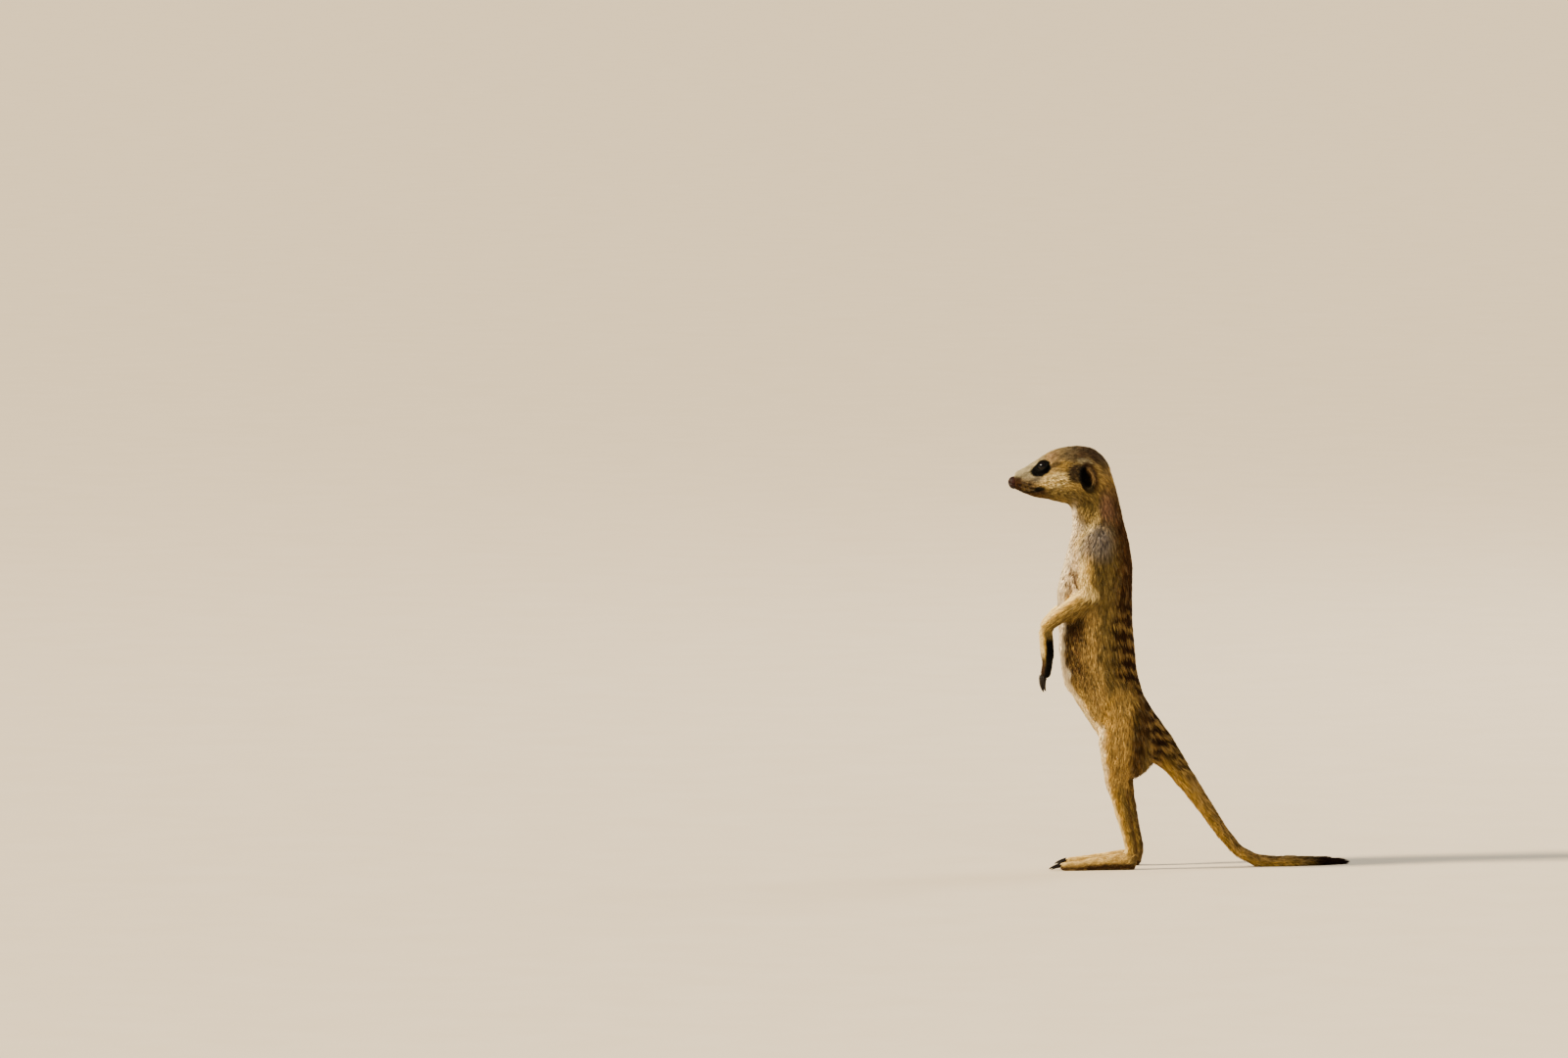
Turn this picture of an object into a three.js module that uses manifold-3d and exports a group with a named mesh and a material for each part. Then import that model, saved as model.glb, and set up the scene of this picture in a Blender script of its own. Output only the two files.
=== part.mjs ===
// A meerkat standing upright on its hind legs, life size, as a still museum model in solid pieces.
// Millimetres. X runs from the nose (minus) to the tail (plus), Y to the animal's right, Z up from the floor.
// Every solid is the outside of the coat. Flesh is lofted through rings, then cut clear of what it meets.
import * as THREE from "three";
import { mergeVertices } from "three/addons/utils/BufferGeometryUtils.js";
import Module from "manifold-3d";

const wasm = await Module();
wasm.setup();

// Clearance between two pieces that meet.
const GAP = 0.3;

// The right leg stands a little behind the left, and the right hand hangs a little lower.
const SIDES = { left: { y: -1, legBack: 0, handDrop: 0 }, right: { y: 1, legBack: 5, handDrop: 2 } };

const EYE_RADIUS = 4.9;
const EYE_PLACE = { x: -47.2, y: 8.8, z: 300.2 };
const NOSE_PLACE = { x: -69.3, z: 288.3 };
const NOSE_HALF = [5.4, 4.9, 5.5];
const EAR_PLACE = { x: -15.5, y: 20.6, z: 293.2 };
const EAR_LEAN = THREE.MathUtils.degToRad(20);
const DIGITS = [0, 1, 2, 3];
const FINGER_SPREAD = 3.6;
const HAND_Y = 17.2;
const TOE_SPREAD = 4.2;
const HEEL_Y = 17;
const TOE_OUT = 0.07;

const COAT = new THREE.MeshStandardMaterial({ color: 0xb09468, roughness: 0.85, metalness: 0 });
const FACE = new THREE.MeshStandardMaterial({ color: 0xb9ab8e, roughness: 0.85, metalness: 0 });
const BLACK_COAT = new THREE.MeshStandardMaterial({ color: 0x2a2018, roughness: 0.85, metalness: 0 });
const NOSE_LEATHER = new THREE.MeshStandardMaterial({ color: 0x4a322a, roughness: 0.5, metalness: 0 });
const CLAW_HORN = new THREE.MeshStandardMaterial({ color: 0x1d1815, roughness: 0.4, metalness: 0 });
const EYE_GLOSS = new THREE.MeshStandardMaterial({ color: 0x120c0a, roughness: 0.1, metalness: 0 });

// One ring of a loft: its centre, its half-width across the animal, and how far it reaches over and under
// the centre. Over is the side of the back on what runs from nose to tail, and the rear on what hangs down.
function ring(x, y, z, halfWidth, over, under = over) {
  return { centre: new THREE.Vector3(x, y, z), girth: new THREE.Vector3(halfWidth, over, under) };
}

// Rounds a circle's sine or cosine off towards a square as fullness rises above 2.
function filled(share, fullness) {
  return Math.sign(share) * Math.abs(share) ** (2 / fullness);
}

// A capsule whose middle runs through the rings and whose ends are rounded over by the lengths in caps.
// grow thickens it all round. A swell pushes the surface outwards near its place, or inwards if by is minus.
function loft(rings, { around, capRows = 2, caps, fullness = 2, swells = [] }, grow = 0) {
  const line = new THREE.CatmullRomCurve3(rings.map((r) => r.centre));
  const girths = new THREE.CatmullRomCurve3(rings.map((r) => r.girth));
  const shape = new THREE.CapsuleGeometry(1, 1, capRows, around, rings.length - 1);
  const places = shape.getAttribute("position");
  for (let i = 0; i < places.count; i++) {
    const along = places.getY(i);
    const t = THREE.MathUtils.clamp(along + 0.5, 0, 1);
    const beyond = along + 0.5 - t;
    const ahead = line.getTangent(t);
    const across = new THREE.Vector3(0, 1, 0).addScaledVector(ahead, -ahead.y).normalize();
    const over = ahead.clone().cross(across);
    const girth = girths.getPoint(t).addScalar(grow);
    const radius = Math.hypot(places.getX(i), places.getZ(i)) || 1e-9;
    const sideways = filled(-places.getX(i) / radius, fullness) * radius;
    const upwards = filled(places.getZ(i) / radius, fullness) * radius;
    const place = line
      .getPoint(t)
      .addScaledVector(ahead, beyond * ((beyond < 0 ? caps[0] : caps[1]) + grow))
      .addScaledVector(across, sideways * girth.x)
      .addScaledVector(over, upwards * (upwards > 0 ? girth.y : girth.z));
    const outwards = place.clone().sub(line.getPoint(t)).normalize();
    const push = swells.reduce((sum, { at, reach, by }) => {
      return sum + by * Math.exp(-((place.distanceTo(new THREE.Vector3(...at)) / reach) ** 2));
    }, 0);
    place.addScaledVector(outwards, push);
    places.setXYZ(i, place.x, place.y, place.z);
  }
  return solid(shape);
}

// A ball stretched to three half-lengths, turned and placed.
function lump(x, y, z, halfLengths, turn = [0, 0, 0], rows = 8, grow = 0) {
  const shape = new THREE.SphereGeometry(1, rows * 2, rows);
  shape.scale(...halfLengths.map((h) => h + grow));
  shape.applyMatrix4(new THREE.Matrix4().makeRotationFromEuler(new THREE.Euler(...turn)));
  shape.translate(x, y, z);
  return solid(shape);
}

// A closed geometry as a solid to join and cut.
function solid(shape) {
  const bare = new THREE.BufferGeometry();
  bare.setAttribute("position", shape.getAttribute("position"));
  bare.setIndex(shape.index);
  const merged = mergeVertices(bare, 1e-4);
  const corners = [];
  const index = merged.index.array;
  for (let i = 0; i < index.length; i += 3) {
    const [a, b, c] = index.slice(i, i + 3);
    if (a !== b && b !== c && c !== a) corners.push(a, b, c);
  }
  const vertProperties = merged.attributes.position.array;
  return new wasm.Manifold(new wasm.Mesh({ numProp: 3, vertProperties, triVerts: new Uint32Array(corners) }));
}

// The largest separate body of a cut, so that no sliver stays.
function largest(cut) {
  return cut.decompose().reduce((a, b) => (a.volume() > b.volume() ? a : b));
}

function joined(solids) {
  return solids.reduce((a, b) => a.add(b));
}

function cutBy(piece, ...neighbours) {
  return largest(neighbours.reduce((a, b) => a.subtract(b), piece));
}

// The named mesh of a solid, with its own origin in the middle of its bounding box.
function mesh(name, piece, material) {
  const made = piece.getMesh();
  const shape = new THREE.BufferGeometry();
  shape.setAttribute("position", new THREE.BufferAttribute(new Float32Array(made.vertProperties), 3));
  shape.setIndex(new THREE.BufferAttribute(new Uint32Array(made.triVerts), 1));
  shape.computeBoundingBox();
  const named = new THREE.Mesh(shape, material);
  shape.boundingBox.getCenter(named.position);
  shape.center();
  shape.computeVertexNormals();
  named.name = name;
  return named;
}

const floor = solid(new THREE.BoxGeometry(800, 800, 40).translate(0, 0, -20));

// Trunk: narrow shoulders, a long back, and a fuller belly and rump over the hips.
const TRUNK_RINGS = [
  ring(-7.0, 0, 250, 19.6, 22.4, 20.3),
  ring(-7.2, 0, 231.5, 22.6, 26.2, 24.5),
  ring(-9.0, 0, 210.5, 24.6, 28.1, 28),
  ring(-9.2, 0, 188.4, 24.6, 28, 27.9),
  ring(-8.4, 0, 166.4, 25.4, 29, 28.2),
  ring(-6.0, 0, 143.3, 27.2, 28.8, 26.9),
  ring(1.5, 0, 122.3, 28.4, 27.2, 20.2),
  ring(13.5, 0, 104.2, 26.4, 24.8, 20),
  ring(25.0, 0, 90, 20, 19, 15),
];
const trunkOf = (grow) => loft(TRUNK_RINGS, { around: 26, caps: [8, 10], fullness: 2.15 }, grow);

// Head: a pointed muzzle, a short steep brow, broad cheeks and a domed crown, from the lip to the nape.
const HEAD_RINGS = [
  ring(-68.2, 0, 288.8, 5.5, 7.3, 7.0),
  ring(-61.0, 0, 288.8, 7.7, 11.0, 9.4),
  ring(-55.5, 0, 289.0, 9.7, 14.2, 11.9),
  ring(-51.0, 0, 289.1, 11.8, 17.1, 12.9),
  ring(-46.5, 0, 289.2, 14.8, 20.1, 13.6),
  ring(-41.0, 0, 289.2, 18.2, 23.1, 14.8),
  ring(-31.0, 0, 289.2, 22.2, 26.1, 17.2),
  ring(-21.0, 0, 289.2, 23.5, 26.8, 19.6),
  ring(-11.5, 0, 289.2, 22.6, 25.2, 20.4),
  ring(-4.0, 0, 289.4, 18.8, 20.0, 17.5),
];
const FACE_SWELLS = Object.values(SIDES).flatMap(({ y }) => [
  { at: [-62, y * 7, 286.5], reach: 5, by: 0.9 },
  { at: [-43.5, y * 10.5, 306.5], reach: 5, by: 1.7 },
  { at: [-49.5, y * 12.0, 298.5], reach: 4.6, by: -1.9 },
  { at: [-33, y * 21, 283.5], reach: 10, by: 1.5 },
]);
const headOf = (grow) =>
  loft(HEAD_RINGS, { around: 28, caps: [3.2, 6], fullness: 2.1, swells: FACE_SWELLS }, grow);

// Neck: a column from inside the back of the head into the shoulders.
const NECK_RINGS = [
  ring(-14.0, 0, 298, 15.5, 15.4),
  ring(-11.0, 0, 285.5, 17.0, 16.8),
  ring(-9.4, 0, 271, 17.0, 18.8),
  ring(-7.0, 0, 258.5, 17.6, 19.4),
  ring(-6.8, 0, 243.6, 20.0, 23.6, 21.6),
  ring(-7.4, 0, 232, 21.0, 25.0, 23.0),
];
const neckOf = (grow) => loft(NECK_RINGS, { around: 24, caps: [6, 6], fullness: 2.1 }, grow);

// Tail: thick where it leaves the rump, straight down to the floor as the third leg, then along the floor.
const TAIL_RINGS = [
  ring(19.0, 0, 112, 15.0, 17, 19),
  ring(34.5, 0.4, 94.5, 12.6, 14.5, 15.5),
  ring(49.0, 1, 79.0, 9.2, 10.3, 10.4),
  ring(61.5, 2, 62.0, 7.2, 7.6),
  ring(74.0, 3, 44.0, 6.2, 6.4),
  ring(85.5, 4, 27.0, 5.5, 5.7),
  ring(97.0, 5, 13.0, 5.0, 5.2),
  ring(110.5, 6.5, 5.6, 4.7, 4.9, 5.9),
  ring(127.0, 9, 4.2, 4.3, 4.5, 4.5),
  ring(145.0, 13, 3.8, 4.0, 4.2, 4.1),
  ring(163.0, 19, 3.3, 3.6, 3.8, 3.6),
  ring(178.0, 26, 2.4, 2.3, 2.5, 2.7),
];
const TAIL_PARTS = { tail_base: [0, 4], tail_middle: [4, 8], tail_tip: [8, 11] };
const tailOf = (grow) => loft(TAIL_RINGS, { around: 14, caps: [8, 3] }, grow);

// The slab of space between two of the tail's rings, square to it at each, which parts it into lengths.
function tailLength(from, to) {
  const line = new THREE.CatmullRomCurve3(TAIL_RINGS.map((r) => r.centre));
  const last = TAIL_RINGS.length - 1;
  const cutEnd = (n, facing) => {
    const ahead = line.getTangent(n / last).multiplyScalar(facing);
    const box = new THREE.BoxGeometry(300, 300, 300).translate(0, 0, 150 - GAP / 2);
    box.applyQuaternion(new THREE.Quaternion().setFromUnitVectors(new THREE.Vector3(0, 0, 1), ahead));
    box.translate(...TAIL_RINGS[n].centre.toArray());
    return solid(box);
  };
  let piece = tailOf(0);
  if (from > 0) piece = piece.subtract(cutEnd(from, -1));
  if (to < last) piece = piece.subtract(cutEnd(to, 1));
  return piece;
}

// Foreleg: the upper arm lies along the chest, the forearm reaches forward, the hand hangs from the wrist.
const upperArmOf = ({ y, handDrop }, grow) =>
  loft(
    [
      ring(-8.0, y * 16.0, 250, 7.2, 10.5),
      ring(-9.8, y * 20.2, 234, 8.5, 11.8, 11.6),
      ring(-10.6, y * 23.4, 219, 8.4, 11.0, 11.2),
      ring(-9.0, y * 24.8, 208.5 - handDrop, 7.8, 9.6),
    ],
    { around: 12, caps: [8, 6] },
    grow,
  );
const forearmOf = ({ y, handDrop }, grow) =>
  loft(
    [
      ring(-8.5, y * 25.0, 206.8 - handDrop, 7.6, 9.0),
      ring(-17.0, y * 24.8, 202.2 - handDrop, 7.3, 8.6),
      ring(-27.5, y * 23.1, 195.8 - handDrop, 6.5, 7.6, 7.4),
      ring(-38.5, y * 20.4, 188.2 - handDrop, 5.9, 6.3, 6.2),
      ring(-45.4, y * 18.4, 182 - handDrop, 5.5, 4.9, 5.2),
    ],
    { around: 12, caps: [5, 3.6] },
    grow,
  );
const palmOf = ({ y, handDrop }, grow) =>
  loft(
    [
      ring(-45.7, y * 18.0, 179 - handDrop, 5.4, 5.0, 5.0),
      ring(-45.3, y * 17.6, 168.5 - handDrop, 6.4, 5.3, 5.1),
      ring(-44.6, y * HAND_Y, 158.5 - handDrop, 6.9, 5.0, 4.8),
    ],
    { around: 12, caps: [3, 4] },
    grow,
  );
const fingerY = (y, n) => y * HAND_Y + FINGER_SPREAD * (n - 1.5);
const fingerReach = (n) => 1.4 - 0.8 * Math.abs(n - 1.5);
const FINGER_FAN = [0.9, -0.5, -0.9, 0.3];
const fingerOf = ({ y, handDrop }, n, grow) =>
  loft(
    [
      ring(-44.4, fingerY(y, n), 160 - handDrop, 2.0, 4.2),
      ring(-44.7, fingerY(y, n), 151.5 - handDrop, 1.9, 4.1, 4.2),
      ring(-46.2 + FINGER_FAN[n], fingerY(y, n), 145 - fingerReach(n) - handDrop, 1.8, 3.2),
    ],
    { around: 6, capRows: 1, caps: [2, 2] },
    grow,
  );
const handOf = (side, grow) => joined([palmOf(side, grow), ...DIGITS.map((n) => fingerOf(side, n, grow))]);
const frontClawOf = ({ y, handDrop }, n) => {
  const top = 148 - fingerReach(n) - handDrop;
  return loft(
    [
      ring(-46.6 + FINGER_FAN[n], fingerY(y, n), top, 1.3, 2.1),
      ring(-48.3 + FINGER_FAN[n], fingerY(y, n), top - 5.6, 1.1, 1.8),
      ring(-48.2 + FINGER_FAN[n], fingerY(y, n), top - 10.6, 0.7, 1.15),
      ring(-47.1 + FINGER_FAN[n], fingerY(y, n), top - 14.2, 0.2, 0.25),
    ],
    { around: 5, capRows: 1, caps: [1, 0.5] },
  );
};

// Hind leg: a deep thigh, the shank back down to the ankle, and a long foot flat on the floor.
const thighOf = ({ y, legBack }, grow) =>
  loft(
    [
      ring(12.5 + 0.2 * legBack, y * 14.5, 127, 11.5, 12, 17.5),
      ring(12.0 + 0.5 * legBack, y * 17.6, 115, 13.2, 16.5, 18.8),
      ring(10.5 + 0.8 * legBack, y * 19.4, 99, 13.4, 23.0, 18.2),
      ring(8.5 + legBack, y * 19.9, 86, 12.0, 26.0, 15.4),
      ring(6.0 + legBack, y * 20.4, 75.5, 9.8, 20.0, 11.2),
    ],
    { around: 16, caps: [9, 5] },
    grow,
  );
const shankOf = ({ y, legBack }, grow) =>
  loft(
    [
      ring(5.0 + legBack, y * 20.4, 80, 8.6, 12, 10.2),
      ring(6.8 + legBack, y * 20, 64, 7.2, 9.6, 8.9),
      ring(10.6 + legBack, y * 18.6, 47.5, 5.9, 6.8, 7.0),
      ring(14.6 + legBack, y * 17.4, 31, 5.0, 5.5, 5.8),
      ring(17.6 + legBack, y * 16.4, 17, 4.9, 5.3, 5.2),
      ring(18.6 + legBack, y * 16.2, 10, 5.0, 5.2, 5.0),
    ],
    { around: 12, caps: [4, 3.5] },
    grow,
  );
const footLineY = (y, x) => y * (HEEL_Y + TOE_OUT * (18 - x));
const footRing = ({ y, legBack }, x, z, ...girth) => ring(x + legBack, footLineY(y, x), z, ...girth);
const soleOf = (side, grow) =>
  loft(
    [
      footRing(side, -17, 4.2, 7.6, 3.8, 5),
      footRing(side, -5, 5.0, 7.0, 4.9, 6),
      footRing(side, 8, 5.6, 5.7, 6.6, 6.6),
      footRing(side, 18, 6.0, 5.2, 7.5, 7),
    ],
    { around: 12, caps: [4, 4.5] },
    grow,
  );
const toeRing = ({ y, legBack }, n, x, z, ...girth) =>
  ring(x + legBack, footLineY(y, x) + TOE_SPREAD * (n - 1.5) * (1 - 0.008 * (x + 16)), z, ...girth);
const toeTip = (n) => -33.5 - (1.8 - 1.2 * Math.abs(n - 1.5));
const toeOf = (side, n, grow) =>
  loft(
    [
      toeRing(side, n, toeTip(n), 3.2, 1.8, 2.3, 3.6),
      toeRing(side, n, -25, 3.9, 2.0, 2.9, 4.3),
      toeRing(side, n, -16, 4.2, 2.2, 3.2, 4.6),
    ],
    { around: 7, capRows: 1, caps: [2, 2] },
    grow,
  );
const footOf = (side, grow) =>
  joined([soleOf(side, grow), ...DIGITS.map((n) => toeOf(side, n, grow))]).subtract(floor);
const hindClawOf = (side, n) =>
  loft(
    [
      toeRing(side, n, toeTip(n) - 8.6, 1.0, 0.25, 0.3),
      toeRing(side, n, toeTip(n) - 5, 2.8, 0.8, 1.0),
      toeRing(side, n, toeTip(n) - 0.6, 3.7, 1.0, 1.25),
    ],
    { around: 5, capRows: 1, caps: [0.6, 1] },
  );

// Head's own parts. The jaw is the wedge under the lip line, back to the corner of the mouth and the cheek.
const eyeOf = ({ y }, grow) =>
  lump(EYE_PLACE.x, y * EYE_PLACE.y, EYE_PLACE.z, [EYE_RADIUS, EYE_RADIUS, EYE_RADIUS], [0, 0, 0], 7, grow);
const noseOf = (grow) => lump(NOSE_PLACE.x, 0, NOSE_PLACE.z, NOSE_HALF, [0, 0, 0], 6, grow);
function jawSpace(gap) {
  const outline = new THREE.Shape();
  outline.moveTo(-80, 285.4 - gap);
  outline.lineTo(-72, 284.2 - gap);
  outline.lineTo(-61, 281.7 - gap);
  outline.lineTo(-50, 282.6 - gap);
  outline.lineTo(-36 - gap, 278.6 - gap);
  outline.lineTo(-31 - gap, 262);
  outline.lineTo(-80, 262);
  outline.closePath();
  const prism = new THREE.ExtrudeGeometry(outline, { depth: 80, bevelEnabled: false });
  prism.translate(0, 0, -40).rotateX(Math.PI / 2);
  return solid(prism);
}
function earOf({ y }) {
  const turn = [y * 0.12, -EAR_LEAN, y * 0.35];
  const outside = lump(EAR_PLACE.x, y * EAR_PLACE.y, EAR_PLACE.z, [6.6, 4.6, 10.6], turn, 7);
  const hollow = lump(EAR_PLACE.x - 1.7, y * (EAR_PLACE.y + 3.7), EAR_PLACE.z, [4.6, 4.2, 8.3], turn, 6);
  return outside.subtract(hollow);
}

function headGroup() {
  const group = new THREE.Group();
  const whole = headOf(0).subtract(noseOf(GAP));
  const open = whole.subtract(eyeOf(SIDES.left, GAP)).subtract(eyeOf(SIDES.right, GAP));
  group.add(mesh("head", largest(open.subtract(jawSpace(0))), FACE));
  group.add(mesh("lower_jaw", largest(whole.intersect(jawSpace(GAP))), FACE));
  group.add(mesh("nose", noseOf(0), NOSE_LEATHER));
  for (const [word, side] of Object.entries(SIDES)) {
    group.add(mesh(`eye_${word}`, eyeOf(side, 0), EYE_GLOSS));
    group.add(mesh(`ear_${word}`, cutBy(earOf(side), headOf(GAP)), BLACK_COAT));
  }
  return group;
}

function bodyGroup() {
  const group = new THREE.Group();
  group.add(mesh("trunk", trunkOf(0), COAT));
  group.add(mesh("neck", cutBy(neckOf(0), headOf(GAP), trunkOf(GAP)), COAT));
  for (const [name, [from, to]] of Object.entries(TAIL_PARTS)) {
    const material = name === "tail_tip" ? BLACK_COAT : COAT;
    group.add(mesh(name, cutBy(tailLength(from, to), floor, trunkOf(GAP)), material));
  }
  return group;
}

function forelegGroup(word, side) {
  const group = new THREE.Group();
  group.add(mesh(`upper_arm_${word}`, cutBy(upperArmOf(side, 0), trunkOf(GAP), neckOf(GAP)), COAT));
  group.add(mesh(`forearm_${word}`, cutBy(forearmOf(side, 0), upperArmOf(side, GAP), trunkOf(GAP)), COAT));
  group.add(mesh(`hand_${word}`, cutBy(handOf(side, 0), forearmOf(side, GAP)), COAT));
  for (const n of DIGITS) {
    group.add(mesh(`claw_front_${word}_${n + 1}`, cutBy(frontClawOf(side, n), handOf(side, GAP)), CLAW_HORN));
  }
  return group;
}

function hindLegGroup(word, side) {
  const group = new THREE.Group();
  group.add(mesh(`thigh_${word}`, cutBy(thighOf(side, 0), trunkOf(GAP), tailOf(GAP)), COAT));
  group.add(mesh(`shank_${word}`, cutBy(shankOf(side, 0), thighOf(side, GAP), trunkOf(GAP)), COAT));
  group.add(mesh(`foot_${word}`, cutBy(footOf(side, 0), shankOf(side, GAP)), COAT));
  for (const n of DIGITS) {
    group.add(mesh(`claw_hind_${word}_${n + 1}`, cutBy(hindClawOf(side, n), footOf(side, GAP)), CLAW_HORN));
  }
  return group;
}

const meerkat = new THREE.Group();
meerkat.add(headGroup(), bodyGroup());
for (const [word, side] of Object.entries(SIDES)) {
  meerkat.add(forelegGroup(word, side), hindLegGroup(word, side));
}

// The model's origin is the middle of its footprint box, on the floor.
meerkat.updateMatrixWorld(true);
const box = new THREE.Box3().setFromObject(meerkat);
meerkat.position.set(-(box.min.x + box.max.x) / 2, -(box.min.y + box.max.y) / 2, 0);

export default meerkat;
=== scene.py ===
import math

import bmesh
import bpy
import numpy as np
from mathutils import Matrix, Vector
from mathutils.kdtree import KDTree


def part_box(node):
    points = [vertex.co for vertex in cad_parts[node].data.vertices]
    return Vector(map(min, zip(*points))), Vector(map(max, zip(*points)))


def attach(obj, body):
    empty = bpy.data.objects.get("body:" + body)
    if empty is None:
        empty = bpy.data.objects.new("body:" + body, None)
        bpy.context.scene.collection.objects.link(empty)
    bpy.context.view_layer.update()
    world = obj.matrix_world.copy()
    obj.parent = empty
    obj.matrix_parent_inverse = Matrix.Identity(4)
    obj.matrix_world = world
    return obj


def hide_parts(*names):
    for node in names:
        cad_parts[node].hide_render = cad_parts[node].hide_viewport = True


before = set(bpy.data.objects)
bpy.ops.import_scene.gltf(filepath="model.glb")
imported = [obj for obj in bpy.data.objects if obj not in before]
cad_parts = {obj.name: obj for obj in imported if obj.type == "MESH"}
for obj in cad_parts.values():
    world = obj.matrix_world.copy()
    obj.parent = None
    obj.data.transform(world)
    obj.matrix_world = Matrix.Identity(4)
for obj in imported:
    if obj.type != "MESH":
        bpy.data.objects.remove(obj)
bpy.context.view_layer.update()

# --------------------------------------
# Studio: a wide floor of matt painted board at the level of the soles. One soft key light, high before the
# animal, is even over the whole floor, and two weaker soft lamps stand at the animal's left and behind it.
FLOOR_RADIUS = 60
HEART = Vector((0, 0, 0.18))
EYE_AHEAD = 0.0472  # of the hips
eye_low, eye_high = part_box("eye_left")
PLAN_X = (eye_low.x + eye_high.x) / 2 + EYE_AHEAD


def metres(x, y, z):
    """A place in the animal's plan, in millimetres from the line under its hips, as metres in the frame."""
    return Vector((PLAN_X + x / 1000, y / 1000, z / 1000))


def linear(hex_colour):
    """An sRGB hex colour as linear red, green, blue."""
    share = np.array([int(hex_colour[i : i + 2], 16) for i in (0, 2, 4)]) / 255
    return np.where(share <= 0.04045, share / 12.92, ((share + 0.055) / 1.055) ** 2.4)


def add_node(tree, kind, settings=None, stops=(), **links):
    """Adds a node; settings fill its attributes or sockets, and links join its sockets to others' outputs,
    with an underscore for a space. Stops are a ramp's places and hex colours, its two ends first."""
    node = tree.nodes.new(kind)
    for name, value in (settings or {}).items():
        if hasattr(node, name):
            setattr(node, name, value)
        else:
            node.inputs[name].default_value = value
    for at, (position, hex_colour) in enumerate(stops):
        stop = node.color_ramp.elements[at] if at < 2 else node.color_ramp.elements.new(position)
        stop.position, stop.color = position, (*linear(hex_colour), 1)
    for name, output in links.items():
        tree.links.new(output, node.inputs[name.replace("_", " ")])
    return node


def new_material(name):
    """A material and its empty node tree."""
    material = bpy.data.materials.new(name)
    material.use_nodes = True
    material.node_tree.nodes.clear()
    return material, material.node_tree


def finished(name, shape, material=None):
    """The scene's object made of a bmesh, shaded smooth."""
    data = bpy.data.meshes.new(name)
    shape.to_mesh(data)
    shape.free()
    data.shade_smooth()
    made = bpy.data.objects.new(name, data)
    bpy.context.scene.collection.objects.link(made)
    if material:
        data.materials.append(material)
    return made


floor = bmesh.new()
bmesh.ops.create_circle(floor, cap_ends=True, radius=FLOOR_RADIUS, segments=96)
# Painted board: matt, hardly any gloss, a faint roller mottle about 60 mm across.
board, tree = new_material("painted_board_matt")
place = add_node(tree, "ShaderNodeTexCoord")
mottle = add_node(tree, "ShaderNodeTexNoise", {"Scale": 16.0, "Detail": 3.0}, Vector=place.outputs["Object"])
roller = ((0, "D2C6B0"), (1, "DACFBC"))
tint = add_node(tree, "ShaderNodeValToRGB", stops=roller, Fac=mottle.outputs["Fac"])
matt = {"Roughness": 0.9, "Specular IOR Level": 0.2}
paint = add_node(tree, "ShaderNodeBsdfPrincipled", matt, Base_Color=tint.outputs["Color"])
add_node(tree, "ShaderNodeOutputMaterial", Surface=paint.outputs["BSDF"])
finished("studio_floor", floor, board)

world = bpy.data.worlds.new("studio_room")
world.use_nodes = True
background = world.node_tree.nodes["Background"]
background.inputs["Color"].default_value = (*linear("EDEBE6"), 1)
background.inputs["Strength"].default_value = 0.5
bpy.context.scene.world = world


def lamp(name, kind, place, power, colour):
    """A soft lamp turned to shine at the animal's heart. Only the key, a sun, is mirrored in the eyes."""
    data = bpy.data.lights.new(name, kind)
    data.energy, data.color = power, linear(colour)
    held = bpy.data.objects.new(name, data)
    held.location = place
    held.rotation_euler = (HEART - Vector(place)).to_track_quat("-Z", "Y").to_euler()
    held.visible_glossy = kind == "SUN"
    bpy.context.scene.collection.objects.link(held)
    return data


lamp("key_light", "SUN", (-2.2, -0.55, 1.5), 11.5, "FFE9C2").angle = math.radians(8)
lamp("fill_lamp", "AREA", (0.4, -3.0, 1.9), 46, "FFF6E6").size = 2.0
lamp("back_lamp", "AREA", (2.2, 2.0, 2.0), 90, "FFF8F0").size = 1.6

# The camera stands far off at the animal's left, looks slightly down and frames it right of the middle.
LENS, SENSOR, DISTANCE, ELEVATION = 300.0, 36.0, 9.733, math.radians(4)
aim = metres(-240.9, 0, 253.2)
back = Vector((0, -math.cos(ELEVATION), math.sin(ELEVATION)))
lens = bpy.data.cameras.new("camera")
lens.lens, lens.sensor_width, lens.clip_start, lens.clip_end = LENS, SENSOR, 0.5, 100
camera = bpy.data.objects.new("camera", lens)
camera.location = aim + back * DISTANCE
camera.rotation_euler = (-back).to_track_quat("-Z", "Y").to_euler()
bpy.context.scene.collection.objects.link(camera)
bpy.context.scene.camera = camera

# --------------------------------------
# Skin: one tanned hide over the whole body, from the lips to the tip of the tail, with lids, ears, lips and
# toes worked into it. It lies inside the solids by most of the coat's depth and is dyed with its markings.
FLESH = [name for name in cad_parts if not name.startswith(("claw", "ear"))]
HIDE_STEP = 0.0014  # metres from vertex to vertex
SWELL, MITRE = 0.28, 1.6  # millimetres that a face moves out, and the most a corner moves for each of them
SUNK = 0.75  # share of the coat's depth that the hide lies under the solids
SOLE_LEVEL = 0.05
SIDES = {"left": -1, "right": 1}
EYE = np.array((-47.2, 8.8, 300.2))
EYE_RADIUS = 4.9
NOSE_MIDDLE, NOSE_HALF = np.array((-69.3, 0, 288.3)), np.array((5.3, 4.6, 5.3))


def mm(points):
    """Frame metres as plan millimetres."""
    return np.asarray(points, float) * 1000 - np.array((PLAN_X * 1000, 0, 0))


def places(shape):
    """The vertices of a bmesh as an array of plan millimetres."""
    return mm([v.co[:] for v in shape.verts])


def normals(shape):
    """The vertex normals of a bmesh as an array."""
    shape.normal_update()
    return np.array([v.normal[:] for v in shape.verts])


def put(shape, points):
    """Moves the vertices of a bmesh to plan millimetres."""
    for vert, (x, y, z) in zip(shape.verts, points):
        vert.co = metres(x, y, z)


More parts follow.
